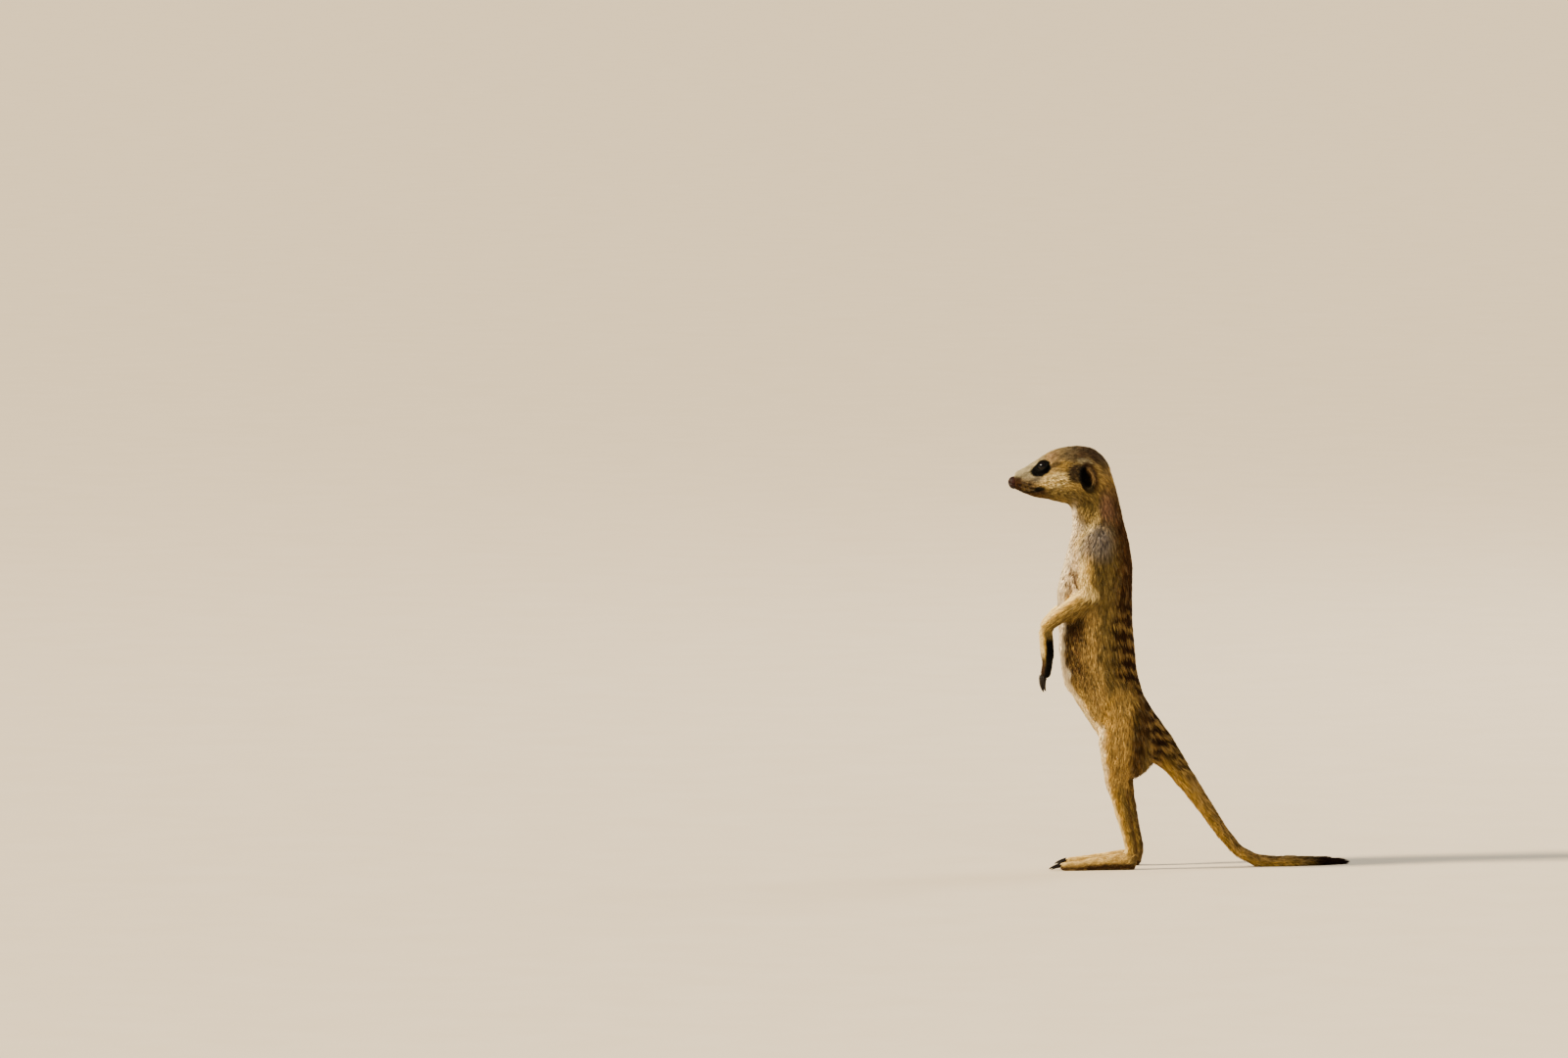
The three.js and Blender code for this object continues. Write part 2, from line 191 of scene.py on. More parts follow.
def ease(start, end, value):
    """0 before start, 1 after end, and a smooth rise between; start may be the larger."""
    t = np.clip((value - start) / (end - start), 0, 1)
    return t * t * (3 - 2 * t)


def hump(value, middle, width):
    """1 at the middle, falling to 0 on both sides of it as a bell."""
    return np.exp(-(((value - middle) / width) ** 2))


def folded(points):
    """Points of both sides of the animal, all on its right side."""
    return points * (1, 0, 1) + np.abs(points) * (0, 1, 0)


def mirror_for(points):
    """What turns places on the animal's right side into places on each point's own side."""
    side = np.sign(points[:, 1] + 1e-9)
    return np.stack((np.ones_like(side), side, np.ones_like(side)), 1)


def ball(points, middle, radius):
    """1 in the middle of a ball and 0 outside it, the same on both sides of the animal."""
    d = folded(points) - middle
    return ease(1, 0, np.sqrt((d * d).sum(1)) / radius)


# Coat by place: x, distance from the midline, z; depth of coat, a lock's length and width, locks to a mm2.
COAT_PLACES = np.array([
    (-68, 3, 294, 0.35, 1.3, 0.27, 5.4),  # bridge by the nose
    (-60, 0, 300, 0.5, 2.0, 0.30, 5.0),  # bridge
    (-62, 8, 287, 0.45, 1.8, 0.30, 5.0),  # whisker pad
    (-62, 0, 281, 0.45, 1.7, 0.30, 4.4),  # chin
    (-50, 13, 299, 0.45, 1.5, 0.28, 4.8),  # round the eye
    (-43, 8, 309, 0.9, 2.6, 0.35, 4.0),  # brow
    (-48, 13, 288, 0.8, 2.6, 0.35, 4.0),  # below the eye
    (-36, 20, 288, 1.4, 4.0, 0.43, 3.0),  # cheek
    (-38, 10, 275, 1.3, 4.0, 0.45, 2.4),  # jaw
    (-25, 0, 316, 1.5, 4.0, 0.45, 2.6),  # crown
    (-16, 23, 293, 0.5, 1.9, 0.32, 3.6),  # ear
    (-4, 16, 296, 2.0, 5.5, 0.52, 2.4),  # behind the ear
    (4, 0, 300, 2.0, 5.5, 0.52, 2.3),  # nape
    (-24, 0, 268, 2.0, 5.5, 0.55, 2.2),  # throat
    (-9, 18, 266, 2.4, 7.0, 0.60, 2.0),  # side of the neck
    (-12, 24, 238, 2.8, 8.0, 0.66, 1.9),  # shoulder
    (-32, 0, 225, 2.8, 8.0, 0.68, 1.8),  # chest
    (18, 0, 220, 3.2, 9.5, 0.74, 1.7),  # back
    (-5, 25, 175, 3.2, 9.0, 0.74, 1.6),  # flank
    (-36, 0, 165, 3.0, 8.5, 0.72, 1.6),  # belly
    (-18, 0, 122, 2.8, 8.0, 0.70, 1.6),  # groin
    (32, 0, 108, 3.2, 9.5, 0.74, 1.7),  # rump
    (8, 31, 100, 2.8, 8.0, 0.68, 1.8),  # thigh
    (-6, 20, 88, 2.0, 6.0, 0.56, 2.1),  # knee
    (6, 27, 60, 1.5, 5.0, 0.50, 2.4),  # shank
    (16, 20, 25, 1.0, 3.2, 0.42, 2.8),  # ankle
    (2, 17, 10, 0.6, 2.0, 0.34, 3.2),  # foot
    (-27, 20, 6, 0.4, 1.3, 0.28, 3.4),  # toes
    (-8, 31, 208, 2.0, 6.0, 0.56, 2.0),  # elbow
    (-28, 26, 196, 1.4, 4.8, 0.48, 2.5),  # forearm
    (-46, 20, 182, 0.9, 3.0, 0.40, 3.0),  # wrist
    (-48, 18, 168, 0.6, 2.0, 0.34, 3.2),  # hand
    (-46, 18, 152, 0.35, 1.2, 0.28, 3.4),  # fingers
    (42, 0, 92, 2.8, 8.5, 0.68, 1.8),  # root of the tail
    (74, 3, 44, 1.8, 6.5, 0.56, 2.1),  # tail
    (108, 6, 8, 1.4, 5.5, 0.52, 2.2),  # tail on the floor
    (170, 22, 4, 0.9, 5.0, 0.50, 2.2),  # tip of the tail
])


def coat_at(points):
    """Depth, length, width and density of the coat at each point, from the places near it."""
    one_side = folded(points)
    coat = np.zeros((len(points), 4))
    total = np.zeros((len(points), 1))
    for place in COAT_PLACES:
        weight = 1 / (((one_side - place[:3]) ** 2).sum(1, keepdims=True) + 4) ** 2
        coat += weight * place[3:]
        total += weight
    return coat / total


# The solids are swelled until they overlap, and cast as one closed skin. The eyes and the nose are cast with
# them, so that the skin closes behind them.
hide = bmesh.new()
for name in FLESH:
    hide.from_mesh(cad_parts[name].data)
bmesh.ops.remove_doubles(hide, verts=hide.verts, dist=1e-6)
corner_moves = np.array([[min(v.calc_shell_factor(), MITRE)] for v in hide.verts])
put(hide, places(hide) + normals(hide) * SWELL * corner_moves)
cast = finished("hide_cast", hide)
remesh = cast.modifiers.new("one_skin", "REMESH")
remesh.mode, remesh.voxel_size, remesh.use_smooth_shade = "VOXEL", HIDE_STEP, True
depsgraph = bpy.context.evaluated_depsgraph_get()
hide = bmesh.new()
hide.from_mesh(bpy.data.meshes.new_from_object(cast.evaluated_get(depsgraph)))
bpy.data.objects.remove(cast)

# The hide is drawn smooth over the joints between the solids, much over the body and little on face and feet:
# so many rounds where the coat is deeper than so many millimetres.
for rounds, depth in ((4, 0), (8, 0.8), (10, 1.35), (8, 1.9), (8, 2.4)):
    deeper = coat_at(places(hide))[:, 0] > depth
    verts = [v for v, take in zip(hide.verts, deeper) if take]
    for _ in range(rounds):
        bmesh.ops.smooth_vert(
            hide, verts=verts, factor=0.5, use_axis_x=True, use_axis_y=True, use_axis_z=True
        )
p, n = places(hide), normals(hide)
resting = ease(1.2, 0.4, p[:, 2]) * ease(-0.5, -0.9, n[:, 2])
p -= n * (coat_at(p)[:, :1] * SUNK + SWELL) * (1 - resting[:, None])
p[:, 2] = np.where(resting > 0.5, SOLE_LEVEL, np.maximum(p[:, 2], SOLE_LEVEL))
put(hide, p)


def finer(shape, chosen):
    """Halves the edges of a bmesh between chosen vertices."""
    for vert, take in zip(shape.verts, chosen):
        vert.tag = bool(take)
    edges = [e for e in shape.edges if e.verts[0].tag and e.verts[1].tag]
    bmesh.ops.subdivide_edges(shape, edges=edges, cuts=1, use_grid_fill=True)


LIPS_LOWEST_X, LIPS_LOWEST_Z, LIPS_BEND = -59, 281.4, 0.0148


def lip_line(points):
    """Height above the line where the lips meet, and how much of the mouth is there."""
    x = points[:, 0]
    return points[:, 2] - LIPS_LOWEST_Z - LIPS_BEND * (x - LIPS_LOWEST_X) ** 2, ease(-47.5, -50.5, x)


DIGIT_GAPS = np.array((-1, 0, 1))
RIGHT_LEG_BACK, RIGHT_HAND_DROP = 5.0, 2.0
HEEL_X, HEEL_Y, TOES_OUT, TOE_SPREAD = 18, 17, 0.07, 4.2
HAND_Y, FINGER_SPREAD = 17.2, 3.6


def between_digits(points):
    """1 in the gaps between toes and between fingers, 0 away from them."""
    x, y, z = points.T
    right = y > 0
    side = np.where(right, 1, -1)
    toe_x = x - RIGHT_LEG_BACK * right
    across = y - side * (HEEL_Y + TOES_OUT * (HEEL_X - toe_x))
    spread = TOE_SPREAD * (1 - 0.008 * (toe_x + 16))
    toes = sum(hump(across, gap * spread, 0.6) for gap in DIGIT_GAPS) * ease(-13, -18, toe_x) * ease(11, 9, z)
    across = y - side * HAND_Y
    low = z + RIGHT_HAND_DROP * right
    fingers = sum(hump(across, gap * FINGER_SPREAD, 0.55) for gap in DIGIT_GAPS) * ease(160, 156, low)
    return toes + fingers * (x < -38) * (z > 120)


EAR_MIDDLE = np.array((-15.3, 21.2, 293.0))
EAR_LEAN = math.radians(16)
EAR_UP = np.array((-math.sin(EAR_LEAN), 0, math.cos(EAR_LEAN)))
EAR_BACK = np.array((math.cos(EAR_LEAN), 0, math.sin(EAR_LEAN)))
EAR_HALF_HEIGHT, EAR_HALF_WIDTH = 9.4, 5.6
x, _, z = places(hide).T
on_head = (x < -3) & (z > 268)
on_hands = (x < -38) & (z < 176) & (z > 120)
on_feet = (z < 9) & (x < 30)
finer(hide, on_head | on_hands | on_feet)
p = places(hide)
near_eye = ((folded(p) - EYE) ** 2).sum(1) < 9.5**2
near_ear = (((folded(p) - EAR_MIDDLE) / (9, 7, 12.5)) ** 2).sum(1) < 1
near_lips = (np.abs(lip_line(p)[0]) < 2.6) & (lip_line(p)[1] > 0)
finer(hide, near_eye | near_ear | near_lips)

EYE_AXIS = np.array((-0.56, 0.79, 0.24))
EYE_AXIS /= np.linalg.norm(EYE_AXIS)
EYE_SLIT = np.array((1.0, 0, 0.30))
EYE_SLIT -= EYE_AXIS * (EYE_SLIT @ EYE_AXIS)
EYE_SLIT /= np.linalg.norm(EYE_SLIT)
EYE_RISE = np.cross(EYE_SLIT, EYE_AXIS)
EYE_RISE *= np.sign(EYE_RISE[2])
ALMOND_LENGTH, ALMOND_ABOVE, ALMOND_BELOW = 0.80, 0.60, 0.56


def eye_opening(points):
    """How far inside the lids' almond points are (1 in its middle, 0 on its edge), their distance from the
    middle of the eyeball, and how far they are round to its front."""
    d = folded(points) - EYE
    far = np.linalg.norm(d, axis=1)
    d /= far[:, None]
    along, up = d @ EYE_SLIT, d @ EYE_RISE
    height = np.where(up > 0, ALMOND_ABOVE, ALMOND_BELOW)
    shut = np.sqrt((along / ALMOND_LENGTH) ** 2 + (up / height) ** 2 * (1 + 0.5 * along**2))
    return np.where(d @ EYE_AXIS > 0, 1 - shut, -1), far, d @ EYE_AXIS


def ear_place(points):
    """Where points are round the ear: their ring (1 on the rim) and their turn (0 at its rear edge)."""
    d = folded(points) - EAR_MIDDLE
    up, rear = d @ EAR_UP / EAR_HALF_HEIGHT, d @ EAR_BACK / EAR_HALF_WIDTH
    outer = ease(12, 15, np.abs(points[:, 1]))
    return np.hypot(up, rear) + 9 * (1 - outer), np.arctan2(up, rear)


p, n = places(hide), normals(hide)
mirror = mirror_for(p)
LID_THICKNESS, LID_EDGE, LID_FILLET = 0.62, 0.30, 1.3
SOCKET_RADIUS, LIDS_REACH = 4.1, 13
# Lids: the skin stands on the eyeball and dips behind it inside the almond of the lids.
inside, far, facing = eye_opening(p)
from_eye = (p * mirror - EYE) / far[:, None]
lid = EYE_RADIUS + LID_THICKNESS + LID_EDGE * hump(inside, -0.12, 0.12)
proud = np.log(np.exp(far / LID_FILLET) + np.exp(lid / LID_FILLET)) * LID_FILLET
proud = np.maximum(proud - LID_FILLET * math.log(2) * 0.6, np.maximum(far, lid))
blend = ease(-0.10, 0.04, inside)
reach = proud * (1 - blend) + np.minimum(far, SOCKET_RADIUS) * blend
beside = ease(0.0, 0.2, facing)[:, None]
lidded = p * (1 - beside) + (EYE + from_eye * reach[:, None]) * mirror * beside
p = np.where(((far < LIDS_REACH) & (facing > 0))[:, None], lidded, p)
# Ears: a low curled rim, open to the front, round a hollow with a fold in it.
EAR_RIM, EAR_FOLD, EAR_DEPTH, EAR_CURL = 3.6, 1.6, 3.0, 1.5
ring, turn = ear_place(p)
rearward = 0.5 + 0.5 * np.cos(turn)
rim = hump(ring, 0.93, 0.15) * (0.15 + 0.85 * ease(0.1, 0.55, rearward))
inner = hump(ring, 0.50, 0.12) * ease(0.55, 0.9, rearward)
hollow = ease(0.9, 0.55, ring)
p += mirror * np.array((0, 1, 0)) * (EAR_RIM * rim + EAR_FOLD * inner - EAR_DEPTH * hollow)[:, None]
p -= EAR_BACK * (EAR_CURL * rim * ease(0.3, 0.9, rearward))[:, None]
# Lips: a crease from under the nose to the corner of the mouth. Digits: grooves between them, but not in the
# soles. Under the nose pad the hide draws in.
LIP_CREASE, DIGIT_GROOVE, NOSE_SHRINK = 0.75, 0.9, 0.6
above, mouth = lip_line(p)
crease = LIP_CREASE * hump(above, 0, 0.45) * mouth
p -= n * (crease + DIGIT_GROOVE * between_digits(p) * (n[:, 2] > -0.6))[:, None]
p -= (p - NOSE_MIDDLE) * NOSE_SHRINK * ease(-68.2, -71.0, p[:, :1])
put(hide, p)
hide_places, hide_normals = p, normals(hide)

# The lie of the coat, as lines that it follows from the nose over the back and down each limb. Each has the
# half-width of the part it runs in, and the part's name.
LIE_LINES = [
    ("head", 8, [(-72, 0, 288), (-60, 0, 290), (-48, 0, 292)]),
    ("head", 20, [(-48, 0, 292), (-34, 0, 293), (-20, 0, 293), (-8, 0, 289)]),
    ("neck", 18, [(-6, 0, 284), (-9, 0, 270), (-7, 0, 256)]),
    ("trunk", 26, [
        (-7, 0, 246), (-9, 0, 210), (-9, 0, 180), (-6, 0, 146), (4, 0, 120), (16, 0, 102), (24, 0, 90),
    ]),
    ("tail", 12, [(34, 0, 95), (49, 1, 79), (62, 2, 62)]),
    ("tail", 6, [
        (62, 2, 62), (74, 3, 44), (86, 4, 27), (97, 5, 13), (110, 6.5, 6), (127, 9, 4), (145, 13, 4),
        (163, 19, 3), (181, 27, 2.4),
    ]),
    *[(part, reach, [(x, side * y, z) for x, y, z in line]) for side in (-1, 1) for part, reach, line in [
        ("upper_arm", 11, [(-8, 18, 246), (-10, 21, 232), (-11, 24, 218), (-8, 25, 208)]),
        ("forearm", 8, [(-8, 25, 207), (-18, 24.8, 202), (-28, 23, 196), (-39, 20.4, 188), (-45, 18.4, 183)]),
        ("hand", 6, [(-46, 18, 181), (-46, 17.6, 168), (-45, 17.2, 158), (-46, 17.2, 143)]),
        ("thigh", 18, [(12, 17, 122), (11, 19, 104), (9, 20, 86), (7, 20, 76)]),
        ("shank", 8, [(6, 20.4, 76), (8, 20, 62), (11, 18.6, 47), (15, 17.4, 31), (18, 16.4, 16)]),
        ("foot", 7, [(20, 16.5, 9), (8, 17.6, 6), (-8, 18.7, 5), (-22, 19.6, 4), (-40, 21, 3)]),
    ]],
]
PARTS = ("head", "neck", "trunk", "tail", "upper_arm", "forearm", "hand", "thigh", "shank", "foot")


def lie_at(points):
    """The way the coat lies at each point, and the share of each of PARTS there."""
    way, shares = np.zeros_like(points), np.zeros((len(points), len(PARTS)))
    for part, reach, line in LIE_LINES:
        line = np.array(line, float)
        nearest = np.full(len(points), 1e9)
        ahead = np.zeros_like(points)
        for start, end in zip(line, line[1:]):
            run = end - start
            t = np.clip((points - start) @ run / (run @ run), 0, 1)
            gap = np.linalg.norm(points - start - t[:, None] * run, axis=1)
            closer = gap < nearest
            nearest = np.where(closer, gap, nearest)
            ahead = np.where(closer[:, None], run / np.linalg.norm(run), ahead)
        weight = 1 / (nearest / reach + 0.05) ** 6
        way += ahead * weight[:, None]
        shares[:, PARTS.index(part)] += weight
    return way / np.linalg.norm(way, axis=1, keepdims=True), shares / shares.sum(1, keepdims=True)


def wander(points, size, seed=0.0):
    """A smooth random value about 0, between -1 and 1, that changes over about size millimetres."""
    value = np.zeros(len(points))
    for k in range(5):
        turn = seed + 1.7 * k
        way = np.array((math.sin(turn * 2.3 + 1), math.sin(turn * 3.1 + 2), math.sin(turn * 1.9 + 4)))
        way *= 2 * math.pi / (size * 2.2 * np.linalg.norm(way)) * (1 + 0.23 * k)
        value += np.sin(points @ way + turn * 5 + 1.3 * np.sin(points @ way[[2, 0, 1]] * 0.7 + turn))
    return value / 5 * 1.6


# Dyes of the coat, by the name of the colour. They are somewhat darker than the living coat's, carrying part
# of the shade of the animal's shaded side as painted shade.
CREAM, WHITE, BUFF, STRAW = (linear(h) for h in ("F0D692", "F6E4C6", "BA9A54", "B08C3C"))
OLIVE, TAN, RUST, BROWN = (linear(h) for h in ("7A6638", "A2844A", "5C3A1C", "483018"))
UMBER, BLACK, SLATE, ROSE = (linear(h) for h in ("2A170A", "020202", "7E7672", "946E56"))
SILVER = linear("C2B590")


def dyed(coat, *layers):
    """Colours with dyes laid over them in turn; a layer is a dye and its share at each point."""
    for dye, share in layers:
        coat = coat * (1 - share[:, None]) + dye * share[:, None]
    return coat


def side_patch(points, x, z, half_length, half_height, lean=0, core=0.5):
    """1 inside an ellipse on both sides of the animal, falling to 0 at its edge; lean raises its rear end."""
    dx, dz, turn = points[:, 0] - x, points[:, 2] - z, math.radians(lean)
    along = (dx * math.cos(turn) + dz * math.sin(turn)) / half_length
    across = (dz * math.cos(turn) - dx * math.sin(turn)) / half_height
    return ease(1, core, np.hypot(along, across)) * ease(3.5, 6, np.abs(points[:, 1]))


def stroke(points, start, end, width):
    """1 along a line on both sides of the animal between two places (x, z), falling to 0 at its width."""
    start, run = np.array(start), np.subtract(end, start)
    spots = points[:, [0, 2]] - start
    along = np.clip(spots @ run / (run @ run), 0, 1)
    aside = np.linalg.norm(spots - along[:, None] * run, axis=1)
    return ease(1, 0.3, aside / (width * np.sin(math.pi * (0.15 + 0.7 * along))))


# Marks on the sides of the head: x, z, half length, half height, lean, dye, its share, how speckled it is.
HEAD_MARKS = [
    (-33, 300, 10, 6, 0, OLIVE, 0.5, 0.0),  # temple
    (-33, 301, 8, 5, 0, STRAW, 0.7, 0.9),  # pale speckles on the temple
    (-38, 290.5, 14, 8, 10, OLIVE, 0.75, 0.0),  # cheek
    (-39, 291.0, 12, 7, 14, CREAM, 0.95, 1.0),  # pale speckles on the cheek
    (-46, 291.5, 5, 2.6, 25, CREAM, 0.6, 0.5),  # under the eye
    (-33, 280, 17, 6.5, -8, OLIVE, 0.75, 0.2),  # side of the jaw
    (-22, 276, 13, 9, -20, OLIVE, 0.8, 0.1),  # angle of the jaw
    (-10, 279, 12, 8, 0, OLIVE, 0.7, 0.1),  # below the ear
    (-39.5, 302.0, 5.5, 2.2, 20, UMBER, 0.75, 0.2),  # streak behind the eye
    (-24.5, 296.0, 9.8, 9.4, 0, UMBER * 0.7 + SLATE * 0.05, 0.95, 0.1),  # before the ear
    (-19.0, 304.6, 7.0, 2.6, -12, SILVER, 0.6, 0.2),  # over the ear
    (-53, 291.5, 4.5, 2.0, 25, SLATE * 0.5, 0.6, 0.0),  # under the front of the eye patch
    (-66, 286.4, 2.6, 1.3, 0, UMBER * 0.5, 0.8, 0.0),  # spots the whiskers spring from
    *[(spot_x, spot_z, 2.2, 1.2, 0, UMBER * 0.5, 0.8, 0.0) for spot_x, spot_z in (
        (-62.8, 288.0), (-62, 285.2), (-58.6, 287.0), (-57.4, 284.4),
    )],
    (-51.6, 283.2, 6.4, 4.0, 8, BLACK, 0.98, 0.0),  # corner of the mouth
]

# Folds of the loose skin of the chest, as rusty strokes: the darker hair roots that show there and painted
# shade in their creases. Start (x, z), end, width.
CHEST_FOLD_ROOTS_AND_SHADE = [
    ((-27, 231), (-21, 211), 2.1), ((-22.5, 227), (-20, 213), 1.5), ((-30.5, 222), (-26, 209), 1.4),
    ((-30, 209), (-24, 203), 1.6),
]

# The trunk from the side: heights, with x of its back and of its front there.
TRUNK_BACK = (
    (75, 90, 104, 122, 143, 166, 188, 210, 231, 258, 285),
    (40, 44, 36, 28, 22, 19, 19, 19, 19, 12, 6),
)
TRUNK_FRONT = (
    (75, 104, 122, 143, 166, 188, 210, 231, 250, 258, 285),
    (0, -4, -18, -33, -37, -37, -37, -31.5, -28, -26, -27),
)


def markings(points, facing):
    """The colour of the coat at each point, on skin that faces the given way."""
    x, y, z = points.T
    rearward, up = facing[:, 0], facing[:, 2]
    shares = lie_at(points)[1] ** 2.5
    shares /= shares.sum(1, keepdims=True)
    rough, fine, speck = wander(points, 9), wander(points, 4, 3.0), wander(points, 1.7, 8.0)
    # Trunk: a pale front edge, partly pale fur and partly a painted sunlit rim; brown behind it under the
    # arms, partly belly fur and partly painted shadow of the arms; olive flanks, a dark back with short bars,
    # a grey shoulder behind a pale collar, and folds in the chest with painted shade in their creases.
    spine, front = np.interp(z, *TRUNK_BACK), np.interp(z, *TRUNK_FRONT)
    across = (x - front) / (spine - front) + 0.03 * rough
    low, chest, higher = ease(152, 126, z), ease(203, 212, z), ease(182, 212, z)
    # Under the arms: thin brown belly fur, darkened as painted shadow of the arms.
    under_arm_brown_and_shadow = ease(0.09, 0.13, across) * ease(0.46, 0.24, across) * ease(207, 193, z) * (1 - 0.9 * low)
    shoulder = side_patch(points, -9, 248, 20, 21, 0, 0.15)
    collar = hump(0.81 * (x + 20) - 0.58 * (z - 248), 0, 2.4) * ease(-25, -21, x) * ease(-4, -10, x)
    rows = 26 * np.log(7 + 5 * (z + 0.3 * x - 90) / 130) + (0.2 + 0.2 * higher) * rough
    bars = np.sin(2 * math.pi * (rows + (0.14 + 0.2 * higher) * fine))
    broken = (1 + higher) * wander(points * (1, 1, 0.6), 3.4, 6.0)
    barred = ease(0.56, 0.80, across - 0.08 * higher + 0.14 * fine) * ease(246, 218, z)
    barred = barred * ease(-0.1, 0.4, bars + 0.5 * broken)
    trunk = dyed(
        WHITE,
        (CREAM, 0.6 * low),
        (BUFF, ease(0.08, 0.15, across + 0.05 * low) * (1 - 0.6 * chest)),
        (TAN, ease(0.15, 0.30, across - 0.16 * chest) * 0.8),
        (OLIVE, ease(0.46, 0.62, across + 0.2 * chest + 0.03 * fine)),
        # Olive at the foot of the throat: partly olive hair and partly painted shadow of the jaw.
        (OLIVE * 0.8, ease(254, 262, z) * ease(0.16, 0.28, across)),
        # Painted shadow of the arms on the belly, darkest just under the forearm.
        (BROWN, 0.95 * under_arm_brown_and_shadow * (1 - 0.45 * ease(-0.2, 0.6, speck))),
        (UMBER, 0.85 * under_arm_brown_and_shadow * hump(z, 182, 9)),
        # Fold strokes: darker roots and painted shade in the creases.
        *[(RUST, 0.9 * stroke(points + 0.7 * fine[:, None], *fold)) for fold in CHEST_FOLD_ROOTS_AND_SHADE],
        (SLATE * 0.82, 0.95 * shoulder),
        (SILVER, 0.5 * shoulder * ease(-12, -19, x) * ease(-0.3, 0.5, speck)),
        (CREAM, 0.6 * collar),
        (RUST * 0.8, 0.9 * ease(0.66, 0.86, across + 0.05 * fine) * (1 - 0.6 * shoulder)),
        (UMBER, 0.6 * ease(0.74, 0.95, across + 0.05 * fine)),
        (TAN, 0.55 * (ease(0.56, 0.76, across) * ease(225, 180, z) * ease(-0.2, -0.8, bars))),
        (UMBER * 0.5, barred * np.interp(z, (80, 120, 165, 230), (0.95, 0.95, 0.85, 0.7))),
    )
    # Neck: a narrow white throat, partly pale fur and partly a painted sunlit rim; olive under the jaw,
    # partly olive hair and partly painted shadow of the jaw; rosy grey sides and a dark nape.
    buff = 0.7 * ease(0.26, 0.42, across + 0.05 * fine) * ease(0.62, 0.5, across) * ease(272, 264, z)
    neck = dyed(
        WHITE,
        # Olive under the jaw: olive hair, darkened as painted shadow of the jaw.
        (OLIVE * 0.9, ease(0.06, 0.15, across + 0.10 * ease(266, 276, z))),
        (BUFF * 0.8, buff),
        (ROSE * 0.75, 0.9 * ease(0.5, 0.66, across + 0.03 * fine)),
        (BROWN, ease(0.74, 0.95, across)),
        (SLATE, 0.9 * ease(264, 254, z) * hump(across, 0.50, 0.22)),
        (CREAM, 0.6 * collar),
    )
    # Head: silvery muzzle, brown lips, black round the eyes, speckled cheeks and a dark crown. The lower
    # muzzle and the chin are darker, partly brown hair and partly painted shade, and the underside of the
    # head behind them is painted shade. The ears are black, with a buff fold and a rusty rear edge.
    marks = [
        (dye, dye_share * side_patch(points, *place) * (1 - speckled * ease(-0.1, 0.5, speck)))
        for *place, dye, dye_share, speckled in HEAD_MARKS
    ]
    above, mouth = lip_line(points)
    lids = folded(points) - EYE
    lids[:, 2] *= np.where(lids[:, 2] > 0, 1.9, 1.2)
    ring, turn = ear_place(points)
    rear = 0.5 + 0.5 * np.cos(turn - 0.3)
    head = dyed(
        BUFF,
        (SILVER, ease(-44, -55, x) * ease(285, 291, z)),
        # Lower muzzle: brown hair, darkened further as painted shade.
        (BROWN, 0.8 * ease(-48, -58, x) * ease(295.2, 288.4, z + 0.5 * fine)),
        ((RUST + UMBER) * 0.35, 0.95 * ease(-62.5, -66.0, x) * ease(293.2, 291.0, z)),
        (OLIVE, 0.9 * ease(-48, -28, x) * ease(297, 307, z + 1.5 * fine)),
        (BROWN, 0.9 * ease(-36, -20, x) * ease(302, 310, z + 1.8 * fine)),
        (BROWN, 0.55 * ease(-13, -2, x)),
        (UMBER, 0.7 * ease(-20, -6, x) * ease(300, 308, z)),
        (ROSE, 0.6 * ball(points, (-42, 8, 306), 9)),
        (SLATE, (0.08 + 0.16 * ease(-22, -32, x)) * ease(-54, -46, x) * ease(292, 299, z)),
        # Painted shade on the downward-facing underside of the head, behind the muzzle.
        (OLIVE * 0.7, 0.8 * ease(0.0, -0.6, up) * ease(-52, -46, x)),
        *marks,
        # Below the lips: brown lips and chin, darkened as painted shade.
        (BROWN, 0.85 * ease(0.5, -0.8, above) * ease(-40, -50, x)),
        (BLACK, 0.9 * hump(above, 0, 0.8) * mouth),
        (BLACK, side_patch(points, -50.2, 297.9, 9.2, 4.9, 22, 0.8)),
        (BLACK, ease(6.9, 6.2, np.linalg.norm(lids, axis=1)) * (np.abs(y) > 5)),
        (BLACK, ease(-0.24, -0.14, eye_opening(points)[0])),
        (BLACK, ease(1.4, 1.15, ring) * (1 - 0.8 * ease(1.0, 1.12, ring) * rear)),
        ((BUFF + ROSE) / 2, 0.65 * hump(ring, 0.66, 0.24) * ease(0.6, 0.85, rear) * ease(286, 290, z)),
        (RUST * 0.8, 0.85 * hump(ring, 1.1, 0.13) * ease(0.4, 0.8, rear)),
    )
    # Limbs: pale in front, olive at the side, brown behind; black palms and fingers. A painted cream
    # highlight sits at the bend of the arm, and the forearm's top and underside carry painted light and
    # shade.
    # Painted highlight: a cream patch where the upper arm meets the forearm.
    elbow_highlight = 0.65 * side_patch(points, -13, 208.5, 8, 6)
    arm = dyed(
        CREAM,
        (BUFF, ease(-19, -13, x + 1.5 * fine)),
        (OLIVE * 0.85, ease(-14, -8, x + 1.5 * fine)),
        (OLIVE, 0.4 * ease(-10, -4, x) * ease(222, 210, z)),
        (SLATE, 0.8 * ease(229, 245, z)),
        (CREAM, elbow_highlight),
    )
    # Forearm: cream fur, paler on top as painted light, and olive to brown underneath, partly as painted
    # shade.
    fore_up = up - 0.35 * rearward
    forearm = dyed(
        CREAM,
        (STRAW, 0.9 * ease(0.75, 0.35, fore_up + 0.1 * fine)),
        (OLIVE, 0.75 * ease(0.4, 0.0, fore_up + 0.1 * fine)),
        (BROWN, 0.5 * ease(-0.6, -0.95, fore_up)),
        (CREAM, elbow_highlight),
    )
